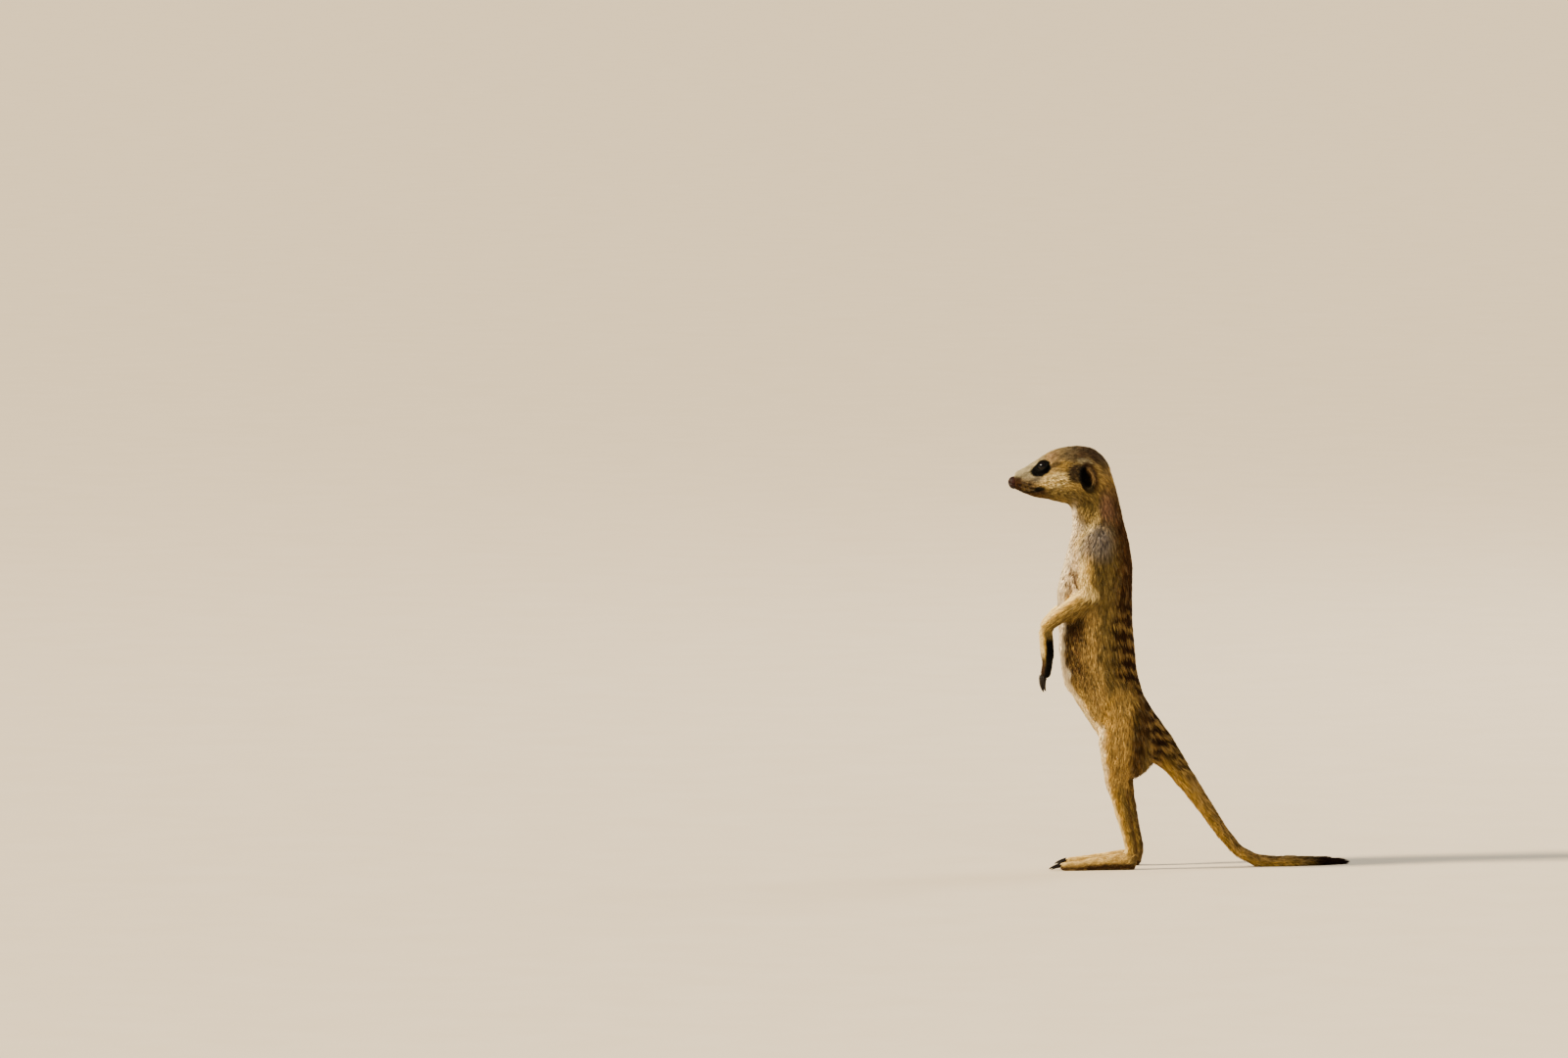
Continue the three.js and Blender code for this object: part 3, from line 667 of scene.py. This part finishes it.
    # Painted shade in the gaps between the digits: umber between the toes, and black left between the
    # fingers.
    gaps = between_digits(points).clip(0, 1)
    knuckles = ease(-0.25, -0.75, rearward) * (1 - gaps) * ease(143, 150, z + 2 * fine)
    hand = dyed(
        CREAM,
        (STRAW, ease(-0.75, -0.45, rearward + 0.1 * fine)),
        (OLIVE, ease(-0.5, -0.2, rearward + 0.1 * fine)),
        (BLACK, ease(-0.40, -0.05, rearward + 0.12 * fine) * ease(177, 171, z)),
        (BLACK, ease(159, 148, z + 6 * rearward + 2.5 * fine)),
        (BROWN, 0.75 * knuckles * ease(164, 156, z)),
    )
    thigh = dyed(
        (WHITE + CREAM) / 2,
        (STRAW, ease(-0.75, -0.42, rearward + 0.1 * rough)),
        (TAN, 0.7 * ease(-4, 6, x + 3 * rough) * ease(-0.6, -0.2, rearward)),
        (BROWN, 0.9 * ease(15, 22, x + 2 * rough + 2 * fine)),
        (UMBER * 0.7, 0.6 * ease(12, 24, x) * ease(76, 90, z) * ease(0.0, 0.5, bars + 0.4 * broken)),
    )
    shank = dyed(
        CREAM,
        (STRAW, ease(-0.75, -0.35, rearward + 0.1 * rough)),
        (OLIVE, 0.8 * ease(-0.3, 0.3, rearward + 0.15 * fine)),
        (BROWN, 0.8 * ease(0.3, 0.85, rearward)),
    )
    foot = dyed(
        BUFF,
        (TAN, 0.6 * ease(-0.3, 0.4, fine)),
        (CREAM, 0.4 * ease(0.2, 0.8, up) * ease(0.1, -0.4, fine)),
        (BROWN, ease(0.3, -0.4, up)),
        # Painted shade between the toes.
        (UMBER, 0.8 * gaps),
    )
    # Tail: straw below, browner above, barred at the root and black at the tip.
    on_top = up + 0.6 * rearward
    tail_bars = 0.85 * ease(66, 78, z) * ease(0.0, 0.5, bars + 0.4 * broken) * ease(-0.5, 0.2, on_top)
    tail = dyed(
        STRAW,
        (TAN, ease(-0.4, 0.3, on_top + 0.2 * rough)),
        (BROWN, 0.5 * ease(0.3, 0.9, on_top + 0.2 * rough)),
        (OLIVE, 0.45 * ease(66, 84, z) * ease(-0.6, -0.1, on_top)),
        (BROWN, 0.25 * ease(74, 90, z)),
        (UMBER * 0.6, tail_bars),
        (UMBER * 0.5, ease(136, 160, x)),
    )
    looks = (head, neck, trunk, tail, arm, forearm, hand, thigh, shank, foot)  # in the order of PARTS
    return np.clip(sum(look * share[:, None] for look, share in zip(looks, shares.T)), 0, 1)


# Tanned hide: matt, and darkened under the hair as painted shade, so that the gaps between locks look sunken.
# Its pores are about 0.7 mm across.
HIDE_PAINTED_SHADE = 0.55
colour = markings(hide_places, hide_normals) * HIDE_PAINTED_SHADE
tanned, tree = new_material("tanned_hide_dyed")
dye = add_node(tree, "ShaderNodeAttribute", {"attribute_name": "dye"})
down = add_node(tree, "ShaderNodeTexCoord")
pores = add_node(tree, "ShaderNodeTexNoise", {"Scale": 1400.0, "Detail": 2.0}, Vector=down.outputs["Object"])
bump = add_node(tree, "ShaderNodeBump", {"Strength": 0.5, "Distance": 0.0003}, Height=pores.outputs["Fac"])
leather = add_node(
    tree, "ShaderNodeBsdfPrincipled", {"Roughness": 0.8, "Specular IOR Level": 0.08},
    Base_Color=dye.outputs["Color"], Normal=bump.outputs["Normal"],
)
add_node(tree, "ShaderNodeOutputMaterial", Surface=leather.outputs["BSDF"])
skin = finished("skin", hide, tanned)
layer = skin.data.attributes.new("dye", "FLOAT_COLOR", "POINT")
layer.data.foreach_set("color", np.c_[colour, np.ones(len(colour))].astype(np.float32).ravel())
bpy.context.view_layer.objects.active = skin
skin.select_set(True)
bpy.ops.object.mode_set(mode="EDIT")
bpy.ops.mesh.select_all(action="SELECT")
skin.data.uv_layers.new(name="OFBake")
bpy.ops.uv.smart_project(angle_limit=1.15, island_margin=0.004, scale_to_bounds=True)
bpy.ops.object.mode_set(mode="OBJECT")
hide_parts(*[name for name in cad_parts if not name.startswith(("claw", "eye", "nose"))])
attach(skin, "root")

# --------------------------------------
# Eyes: two glass balls cast for the model, almost black, with a dark brown iris painted behind the clear
# front and a wet polish. They sit in the sockets behind the lids.
IRIS_EDGE, PUPIL_EDGE = 0.72, 0.34  # radians from the middle of the pupil
BULGE, BULGE_FROM, BULGE_SPAN = 0.035, 0.72, 0.28
glass, tree = new_material("glass_eye_dark_brown")
angle = add_node(tree, "ShaderNodeAttribute", {"attribute_name": "from_pupil"})
browns = [(PUPIL_EDGE, "030202"), (0.95, "070404")]
browns += [(PUPIL_EDGE + 0.05, "070402"), (IRIS_EDGE - 0.1, "0C0603"), (IRIS_EDGE, "030201")]
iris = add_node(tree, "ShaderNodeValToRGB", stops=browns, Fac=angle.outputs["Fac"])
polish = {"Coat Weight": 0.6, "Coat Roughness": 0.02, "Coat IOR": 1.38}
wet = {"Roughness": 0.3, "Specular IOR Level": 0.0, **polish}
ball_glass = add_node(tree, "ShaderNodeBsdfPrincipled", wet, Base_Color=iris.outputs["Color"])
add_node(tree, "ShaderNodeOutputMaterial", Surface=ball_glass.outputs["BSDF"])
for word, sign in SIDES.items():
    eye = bmesh.new()
    bmesh.ops.create_uvsphere(eye, u_segments=48, v_segments=32, radius=EYE_RADIUS / 1000)
    look = Vector(EYE_AXIS * (1, sign, 1))
    for vert in eye.verts:
        clear_front = vert.co.normalized().z
        vert.co *= 1 + BULGE * max(0.0, clear_front - BULGE_FROM) / BULGE_SPAN
    angles = [v.co.normalized().angle(Vector((0, 0, 1))) for v in eye.verts]
    bmesh.ops.rotate(eye, verts=eye.verts, cent=(0, 0, 0), matrix=look.to_track_quat("Z", "Y").to_matrix())
    bmesh.ops.translate(eye, verts=eye.verts, vec=metres(EYE[0], EYE[1] * sign, EYE[2]))
    eye = finished(f"eyeball_{word}", eye, glass)
    eye.data.attributes.new("from_pupil", "FLOAT", "POINT").data.foreach_set("value", angles)
    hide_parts(f"eye_{word}")
    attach(eye, "root")

# --------------------------------------
# Nose: a bare pad of cast rubber painted as damp, pebbled leather, with a comma-shaped nostril at each side
# and a groove down its middle. Its back is let into the hide of the muzzle.
HOLE_DEPTH, SLIT_DEPTH, GROOVE_DEPTH, WING_RISE = 0.45, 0.15, 0.08, 0.05
pad = bmesh.new()
bmesh.ops.create_icosphere(pad, subdivisions=6, radius=1)
ball_places = np.array([v.co[:] for v in pad.verts])
bx, by, bz = ball_places.T
aside = np.abs(by)
fullness = np.ones(len(bx))
fullness -= 0.10 * hump(bx, -1.0, 0.35)
hole = np.exp(-(((aside - 0.50) / 0.19) ** 2 + ((bz - 0.02) / 0.17) ** 2)) * ease(-0.2, -0.5, bx)
slit = hump(bz + 0.10 + 0.4 * (aside - 0.55), 0, 0.075) * ease(0.5, 0.65, aside) * ease(0.25, 0.0, bx)
groove = hump(by, 0, 0.07) * ease(0.35, -0.1, bz) * ease(0.2, -0.3, bx)
fullness -= HOLE_DEPTH * hole + SLIT_DEPTH * slit + GROOVE_DEPTH * groove
fullness += WING_RISE * np.exp(-(((aside - 0.62) / 0.18) ** 2 + ((bz - 0.40) / 0.16) ** 2)) * (bx < 0)
let_in = 1 - 0.5 * ease(-0.05, 0.75, bx)
squat = let_in * np.where(bz > 0, 0.82, 1)
p = NOSE_MIDDLE + ball_places * fullness[:, None] * NOSE_HALF * np.stack((np.ones_like(bx), let_in, squat), 1)
put(pad, p)
wet_leather, tree = new_material("nose_leather_damp")
place = add_node(tree, "ShaderNodeTexCoord")
# Pebbles of the pad's skin, about 0.35 mm across.
pebbles = add_node(tree, "ShaderNodeTexVoronoi", {"Scale": 2800.0}, Vector=place.outputs["Object"])
blotch = add_node(tree, "ShaderNodeTexNoise", {"Scale": 420.0, "Detail": 3.0}, Vector=place.outputs["Object"])
browns = ((0.3, "0D0504"), (0.75, "36170F"))
tone = add_node(tree, "ShaderNodeValToRGB", stops=browns, Fac=blotch.outputs["Fac"])
pebbled = {"Strength": 0.6, "Distance": 0.00012}
bump = add_node(tree, "ShaderNodeBump", pebbled, Height=pebbles.outputs["Distance"])
# Painted shade: the nostrils, the groove and the underside are darker.
shaded = add_node(tree, "ShaderNodeAttribute", {"attribute_name": "shaded"})
dark = add_node(
    tree, "ShaderNodeMix", {"data_type": "RGBA", "B": (*linear("040101"), 1)},
    Factor=shaded.outputs["Fac"], A=tone.outputs["Color"],
)
damp = add_node(
    tree, "ShaderNodeBsdfPrincipled", {"Roughness": 0.5, "Specular IOR Level": 0.14},
    Base_Color=dark.outputs["Result"], Normal=bump.outputs["Normal"],
)
add_node(tree, "ShaderNodeOutputMaterial", Surface=damp.outputs["BSDF"])
pad = finished("nose_pad", pad, wet_leather)
shaded = np.clip(1.4 * hole + 0.9 * slit + 0.5 * groove + 0.8 * ease(-0.3, -0.8, bz), 0, 1)
pad.data.attributes.new("shaded", "FLOAT", "POINT").data.foreach_set("value", shaded)
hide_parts("nose")
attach(pad, "root")

# --------------------------------------
# Claws: four to a foot, of curved black horn, longest on the hands. They keep the solids' shape, worked
# smooth, and have the faint mottle and the low sheen of horn.
horn, tree = new_material("claw_horn")
place = add_node(tree, "ShaderNodeTexCoord")
grain = add_node(tree, "ShaderNodeTexNoise", {"Scale": 900.0, "Detail": 2.0}, Vector=place.outputs["Object"])
blacks = ((0.3, "050302"), (0.8, "160C05"))
tone = add_node(tree, "ShaderNodeValToRGB", stops=blacks, Fac=grain.outputs["Fac"])
bump = add_node(tree, "ShaderNodeBump", {"Strength": 0.3, "Distance": 0.0001}, Height=grain.outputs["Fac"])
keratin = add_node(
    tree, "ShaderNodeBsdfPrincipled", {"Roughness": 0.48, "Specular IOR Level": 0.14},
    Base_Color=tone.outputs["Color"], Normal=bump.outputs["Normal"],
)
add_node(tree, "ShaderNodeOutputMaterial", Surface=keratin.outputs["BSDF"])
for foot in ("front_left", "front_right", "hind_left", "hind_right"):
    names = [f"claw_{foot}_{n}" for n in (1, 2, 3, 4)]
    claws = bmesh.new()
    for name in names:
        claws.from_mesh(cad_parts[name].data)
    bmesh.ops.remove_doubles(claws, verts=claws.verts, dist=1e-6)
    claws = finished(f"claws_{foot}", claws, horn)
    smoothed = claws.modifiers.new("smoothed", "SUBSURF")
    smoothed.levels = smoothed.render_levels = 2
    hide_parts(*names)
    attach(claws, "root")

# --------------------------------------
# Coat: locks of short straight hair, each a thin closed spike rooted in the hide and laid along the body,
# dark at the root for the darker underfur and as painted shade, paler or darker at the tip, and smallest on
# the face, ears and feet.
FAR, LOW = 999, -1  # beyond every lock
COAT_PIECES = [  # name, parts of the body, ahead of x, above z; a lock goes to the first piece that takes it
    ("coat_muzzle", ("head",), -40, LOW),
    ("coat_head", ("head",), -22, LOW),
    ("coat_crown", ("head",), FAR, LOW),
    ("coat_neck", ("neck",), FAR, LOW),
    ("coat_chest", ("trunk",), FAR, 205),
    ("coat_waist", ("trunk",), FAR, 160),
    ("coat_belly", ("trunk",), FAR, 120),
    ("coat_rump", ("trunk",), FAR, LOW),
    ("coat_tail", ("tail",), FAR, LOW),
    ("coat_arms", ("upper_arm", "forearm"), FAR, LOW),
    ("coat_hands", ("hand",), FAR, LOW),
    ("coat_thighs", ("thigh",), FAR, LOW),
    ("coat_shanks", ("shank",), FAR, LOW),
    ("coat_feet", ("foot",), FAR, LOW),
]
LOCK_SIDES = 3
LOCK_RINGS, LOCK_GIRTHS = (0.0, 0.45), (1.0, 0.92)  # shares of a lock's length, and how full it is there
LOCK_FLATNESS, ROOT_DEPTH, LOWEST_HAIR = 0.6, 0.25, 0.15
PATCH = 0.003  # share of the map's width that one lock is given, at its root's place on the skin's map
dice = np.random.default_rng(11)

data = skin.data
data.calc_loop_triangles()
count = len(data.loop_triangles)
tri = np.empty(count * 3, np.int32)
data.loop_triangles.foreach_get("vertices", tri)
tri = tri.reshape(-1, 3)
tri_loops = np.empty(count * 3, np.int32)
data.loop_triangles.foreach_get("loops", tri_loops)
uv = np.empty(len(data.loops) * 2, np.float32)
data.uv_layers["OFBake"].data.foreach_get("uv", uv)
tri_uv = uv.reshape(-1, 2)[tri_loops].reshape(-1, 3, 2)
corners = hide_places[tri]
middles = corners.mean(1)
areas = np.linalg.norm(np.cross(corners[:, 1] - corners[:, 0], corners[:, 2] - corners[:, 0]), axis=1) / 2
density = coat_at(middles)[:, 3]
density[eye_opening(middles)[0] > -0.03] = 0
under_pad = np.linalg.norm((middles - (-70.5, 0, 288.3)) / (2.7, 5.0, 5.2), axis=1) < 1
density[under_pad | (middles[:, 0] < -70.5)] = 0
above, mouth = lip_line(middles)
density[(np.abs(above) < 0.5) & (mouth > 0.5)] *= 0.3
face_normal = hide_normals[tri].mean(1)
density[(middles[:, 2] < 0.6) & (face_normal[:, 2] < -0.7)] = 0
ring, turn = ear_place(middles)
density[ring < 0.7] *= 0.6
marks = np.cumsum(areas * density)
picks = np.arange(0.5, marks[-1])
chosen = np.searchsorted(marks, picks + dice.uniform(-0.45, 0.45, len(picks))).clip(0, count - 1)
share = dice.dirichlet((1, 1, 1), len(chosen))
root = (corners[chosen] * share[:, :, None]).sum(1)
up = (hide_normals[tri[chosen]] * share[:, :, None]).sum(1)
up /= np.linalg.norm(up, axis=1, keepdims=True)
root_uv = (tri_uv[chosen] * share[:, :, None]).sum(1)
way, shares = lie_at(root)
part = shares.argmax(1)
sizes = coat_at(root)
ground = markings(root, up)

# The lie turns out from the eyes and ears, and wanders a little, so that the locks gather in soft clumps.
for middle, reach, strength in ((EYE, 11, 1.2), (EAR_MIDDLE, 12, 1.0)):
    away = root - middle * mirror_for(root)
    gap = np.linalg.norm(away, axis=1, keepdims=True)
    way = way + away / gap * strength * ease(reach, reach * 0.3, gap)
swirl = np.cross(up, way)
swirl /= np.linalg.norm(swirl, axis=1, keepdims=True) + 1e-9
clump = wander(root, 5, 1.0) * 0.14 + wander(root, 11, 2.0) * 0.12 + dice.normal(0, 0.09, len(root))
way = way + swirl * clump[:, None]
way -= up * (way * up).sum(1, keepdims=True)
way /= np.linalg.norm(way, axis=1, keepdims=True) + 1e-9
swirl = np.cross(up, way)
length = sizes[:, 1] * dice.uniform(0.75, 1.2, len(root))
width = sizes[:, 2] * dice.uniform(0.8, 1.2, len(root))
lift = np.clip(dice.normal(0.30, 0.07, len(root)), 0.12, 0.55) + 0.05 * wander(root, 6, 4.0)
lift = np.minimum(lift, (sizes[:, 0] + ROOT_DEPTH) / length)


def lock_line(t):
    """The middle of each lock, a share t of its length from the root: it rises at once, then bends flat."""
    rise = lift * (1 - (1 - t) ** 2.0)
    laid = way * (length * t * np.sqrt(1 - lift**2))[:, None]
    return root - up * ROOT_DEPTH * (1 - t) + laid + up * (length * rise * 0.8)[:, None]


# The locks gather in clumps: each leans sideways to the tip of the nearest clump's leading lock.
CLUMP, MOST_LEAN, DRAWN = 9, 0.3, 0.6
leaders = dice.choice(len(root), len(root) // CLUMP, replace=False)
lead_tree = KDTree(len(leaders))
for index, leader in enumerate(leaders):
    lead_tree.insert(root[leader], index)
lead_tree.balance()
near = np.array([[found[1] for found in lead_tree.find_n(spot, 4)] for spot in root])
gap = root[:, None] - root[leaders[near]]
along = (gap * way[:, None]).sum(2)
aside = np.sqrt(((gap**2).sum(2) - along**2).clip(0) + (0.35 * along) ** 2)
pick = aside.argmin(1)
leader = leaders[near[np.arange(len(root)), pick]]
# How near each lock is to its clump's edge, where painted shade darkens it.
clump_edge_shade = ease(0.45, 1.25, aside.min(1) * np.sqrt(sizes[:, 3] * math.pi / CLUMP))
tips = lock_line(1.0)
pull = tips[leader] - tips
pull -= way * (pull * way).sum(1, keepdims=True)
pull *= np.minimum(1, MOST_LEAN * length / (np.linalg.norm(pull, axis=1) + 1e-9))[:, None] * DRAWN


def lock_point(t):
    """The middle of each lock, drawn towards its clump's tip."""
    return lock_line(t) + pull * t**1.5


# Tone: each clump is a little paler or darker, some hairs are tipped silver or dark, and the edges of clumps
# are painted darker than their middles, as shade in the partings between them.
ROOT_UNDERFUR_AND_SHADE, PALE_OVER, DARK_UNDER = 0.36, 0.84, 0.20
light = ground @ (0.3, 0.59, 0.11)
grizzle = np.interp(light, (0, 0.01, 0.04, 0.15, 0.4, 0.8), (0.1, 0.5, 1.1, 1.1, 0.7, 0.35))
grizzle = grizzle * np.where(part == PARTS.index("head"), 1.25, 1)
clump_tone = dice.normal(0, 1, len(root)).clip(-1.8, 1.8)[leader] * grizzle
own_tone = dice.normal(0, 1, len(root)).clip(-1.8, 1.8) * grizzle
body = ground * np.exp(0.26 * clump_tone + 0.12 * own_tone - 0.30 * clump_edge_shade * grizzle)[:, None]
tip = ground * np.exp(0.30 * clump_tone + 0.22 * own_tone)[:, None] * 1.08
# The root: darker underfur and painted shade down in the coat.
root_underfur_and_shade = ground * ROOT_UNDERFUR_AND_SHADE
die = dice.uniform(0, 1, len(root))
pale = (die > PALE_OVER) & (light > 0.035)
dark = (die < DARK_UNDER * grizzle) & (part < PARTS.index("shank"))
tip = np.where(pale[:, None], tip * 0.6 + SILVER * 0.4, tip)
tip = np.where(dark[:, None], tip * 0.30, tip)
body = np.where(dark[:, None], body * 0.75, body)
body, tip = body.clip(0, 1), tip.clip(0, 1)

# Guard hair: coloured from root to tip by its dye and by painted shade, with only a faint sheen, as clean dry
# fur has.
hair, tree = new_material("guard_hair")
shade = add_node(tree, "ShaderNodeAttribute", {"attribute_name": "dye"})
dry = {"Roughness": 0.6, "Specular IOR Level": 0.08}
strand = add_node(tree, "ShaderNodeBsdfPrincipled", dry, Base_Color=shade.outputs["Color"])
add_node(tree, "ShaderNodeOutputMaterial", Surface=strand.outputs["BSDF"])

# One lock's triangles, and their places on its patch of the map: its sunk end, then a band between the rings,
# then the point.
s, k = LOCK_SIDES, len(LOCK_RINGS)
faces, spots = [(0, 2, 1)], [((0.0, 0), (1.0, 0), (0.5, 0.12))]
for r in range(k):
    for c in range(s):
        d = (c + 1) % s
        u0, u1 = c / s, (c + 1) / s
        low, high = LOCK_RINGS[r], (*LOCK_RINGS, 1.0)[r + 1]
        if r + 1 < k:
            faces += [(r * s + c, r * s + d, r * s + s + d), (r * s + c, r * s + s + d, r * s + s + c)]
            spots += [((u0, low), (u1, low), (u1, high)), ((u0, low), (u1, high), (u0, high))]
        else:
            faces.append((r * s + c, r * s + d, k * s))
            spots.append(((u0, low), (u1, low), ((u0 + u1) / 2, high)))
faces, spots = np.array(faces), np.array(spots)

taken = np.zeros(len(root), bool)
for name, parts, ahead_of, above in COAT_PIECES:
    belongs = np.isin(part, [PARTS.index(word) for word in parts]) & (root[:, 0] < ahead_of)
    mine = np.flatnonzero(belongs & (root[:, 2] > above) & ~taken)
    taken[mine] = True
    m = len(mine)
    verts = np.empty((m, k * s + 1, 3))
    shades = np.empty((m, k * s + 1, 4), np.float32)
    shades[:, :, 3] = 1
    for r, t in enumerate(LOCK_RINGS):
        middle = lock_point(t)[mine]
        girth = width[mine] / 2 * LOCK_GIRTHS[r]
        for c in range(s):
            turn = 2 * math.pi * c / s + math.pi / 2
            aside = swirl[mine] * (girth * math.cos(turn))[:, None]
            outwards = up[mine] * (girth * LOCK_FLATNESS * math.sin(turn))[:, None]
            verts[:, r * s + c] = middle + aside + outwards
            shades[:, r * s + c, :3] = (root_underfur_and_shade, body)[r][mine]
    verts[:, -1] = lock_point(1.0)[mine]
    shades[:, -1, :3] = tip[mine]
    verts[:, :, 2] = np.maximum(verts[:, :, 2], LOWEST_HAIR)
    index = (faces[None] + (np.arange(m) * (k * s + 1))[:, None, None]).reshape(-1)
    data = bpy.data.meshes.new(name)
    data.vertices.add(m * (k * s + 1))
    data.loops.add(len(index))
    data.polygons.add(len(index) // 3)
    world_places = (verts.reshape(-1, 3) + (PLAN_X * 1000, 0, 0)) / 1000
    data.vertices.foreach_set("co", world_places.astype(np.float32).ravel())
    data.loops.foreach_set("vertex_index", index.astype(np.int32))
    data.polygons.foreach_set("loop_start", np.arange(0, len(index), 3, dtype=np.int32))
    data.update(calc_edges=True)
    patch = root_uv[mine][:, None, None] + (spots[None] - 0.5) * PATCH
    layer = data.uv_layers.new(name="OFBake")
    layer.data.foreach_set("uv", patch.astype(np.float32).ravel())
    data.attributes.new("dye", "FLOAT_COLOR", "POINT").data.foreach_set("color", shades.ravel())
    data.shade_smooth()
    data.materials.append(hair)
    coat = bpy.data.objects.new(name, data)
    bpy.context.scene.collection.objects.link(coat)
    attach(coat, "root")

# --------------------------------------
# Whiskers: stiff dark bristles, set in the spots of each side of the muzzle, over the eyes and on the cheeks.
# Each is a tapered rod of horn, swept back.
WHISKER_RADIUS, WHISKER_ROOT, WHISKER_STEPS = 0.14, 0.4, 5
WHISKER_ROWS = [  # where each springs from, and its length
    ((-66.0, 5.6, 286.6), 11), ((-63.2, 6.6, 288.3), 14), ((-62.6, 7.4, 285.8), 17),
    ((-59.4, 8.2, 287.4), 18), ((-58.8, 8.8, 285.3), 20), ((-56.0, 9.6, 287.0), 18),
    ((-45.0, 10.4, 307.6), 12), ((-42.5, 11.6, 307.2), 10), ((-36.0, 19.6, 284.5), 10),
]
bristle, tree = new_material("whisker_horn")
place = add_node(tree, "ShaderNodeTexCoord")
grain = add_node(tree, "ShaderNodeTexNoise", {"Scale": 600.0}, Vector=place.outputs["Object"])
darks = ((0, "0E0908"), (1, "3A2A1E"))
tone = add_node(tree, "ShaderNodeValToRGB", stops=darks, Fac=grain.outputs["Fac"])
rod = add_node(tree, "ShaderNodeBsdfPrincipled", {"Roughness": 0.4}, Base_Color=tone.outputs["Color"])
add_node(tree, "ShaderNodeOutputMaterial", Surface=rod.outputs["BSDF"])
whiskers = bmesh.new()
for sign in SIDES.values():
    for (x, y, z), reach in WHISKER_ROWS:
        nearest = np.argmin(np.linalg.norm(hide_places - (x, y * sign, z), axis=1))
        start, out_way = Vector(hide_places[nearest]), Vector(hide_normals[nearest])
        sweep_way = Vector((0.75, 0.35 * sign, -0.12 if z < 300 else 0.3))
        ring_before = None
        for step in range(WHISKER_STEPS + 1):
            t = step / WHISKER_STEPS
            outward = reach * (0.62 * t - 0.22 * t * t) - WHISKER_ROOT
            spot = start + out_way * outward + sweep_way * reach * 0.62 * t * t
            radius = WHISKER_RADIUS * (1 - 0.8 * t) / 1000
            heading = (out_way * (1 - t) + sweep_way * (0.2 + t)).normalized()
            matrix = Matrix.Translation(metres(*spot)) @ heading.to_track_quat("Z", "Y").to_matrix().to_4x4()
            end = step in (0, WHISKER_STEPS)
            made = bmesh.ops.create_circle(whiskers, cap_ends=end, radius=radius, segments=5, matrix=matrix)
            ring_now = list({e for v in made["verts"] for e in v.link_edges})
            if ring_before:
                bmesh.ops.bridge_loops(whiskers, edges=ring_before + ring_now)
            ring_before = ring_now
bmesh.ops.recalc_face_normals(whiskers, faces=whiskers.faces)
whiskers = finished("whiskers", whiskers, bristle)
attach(whiskers, "root")
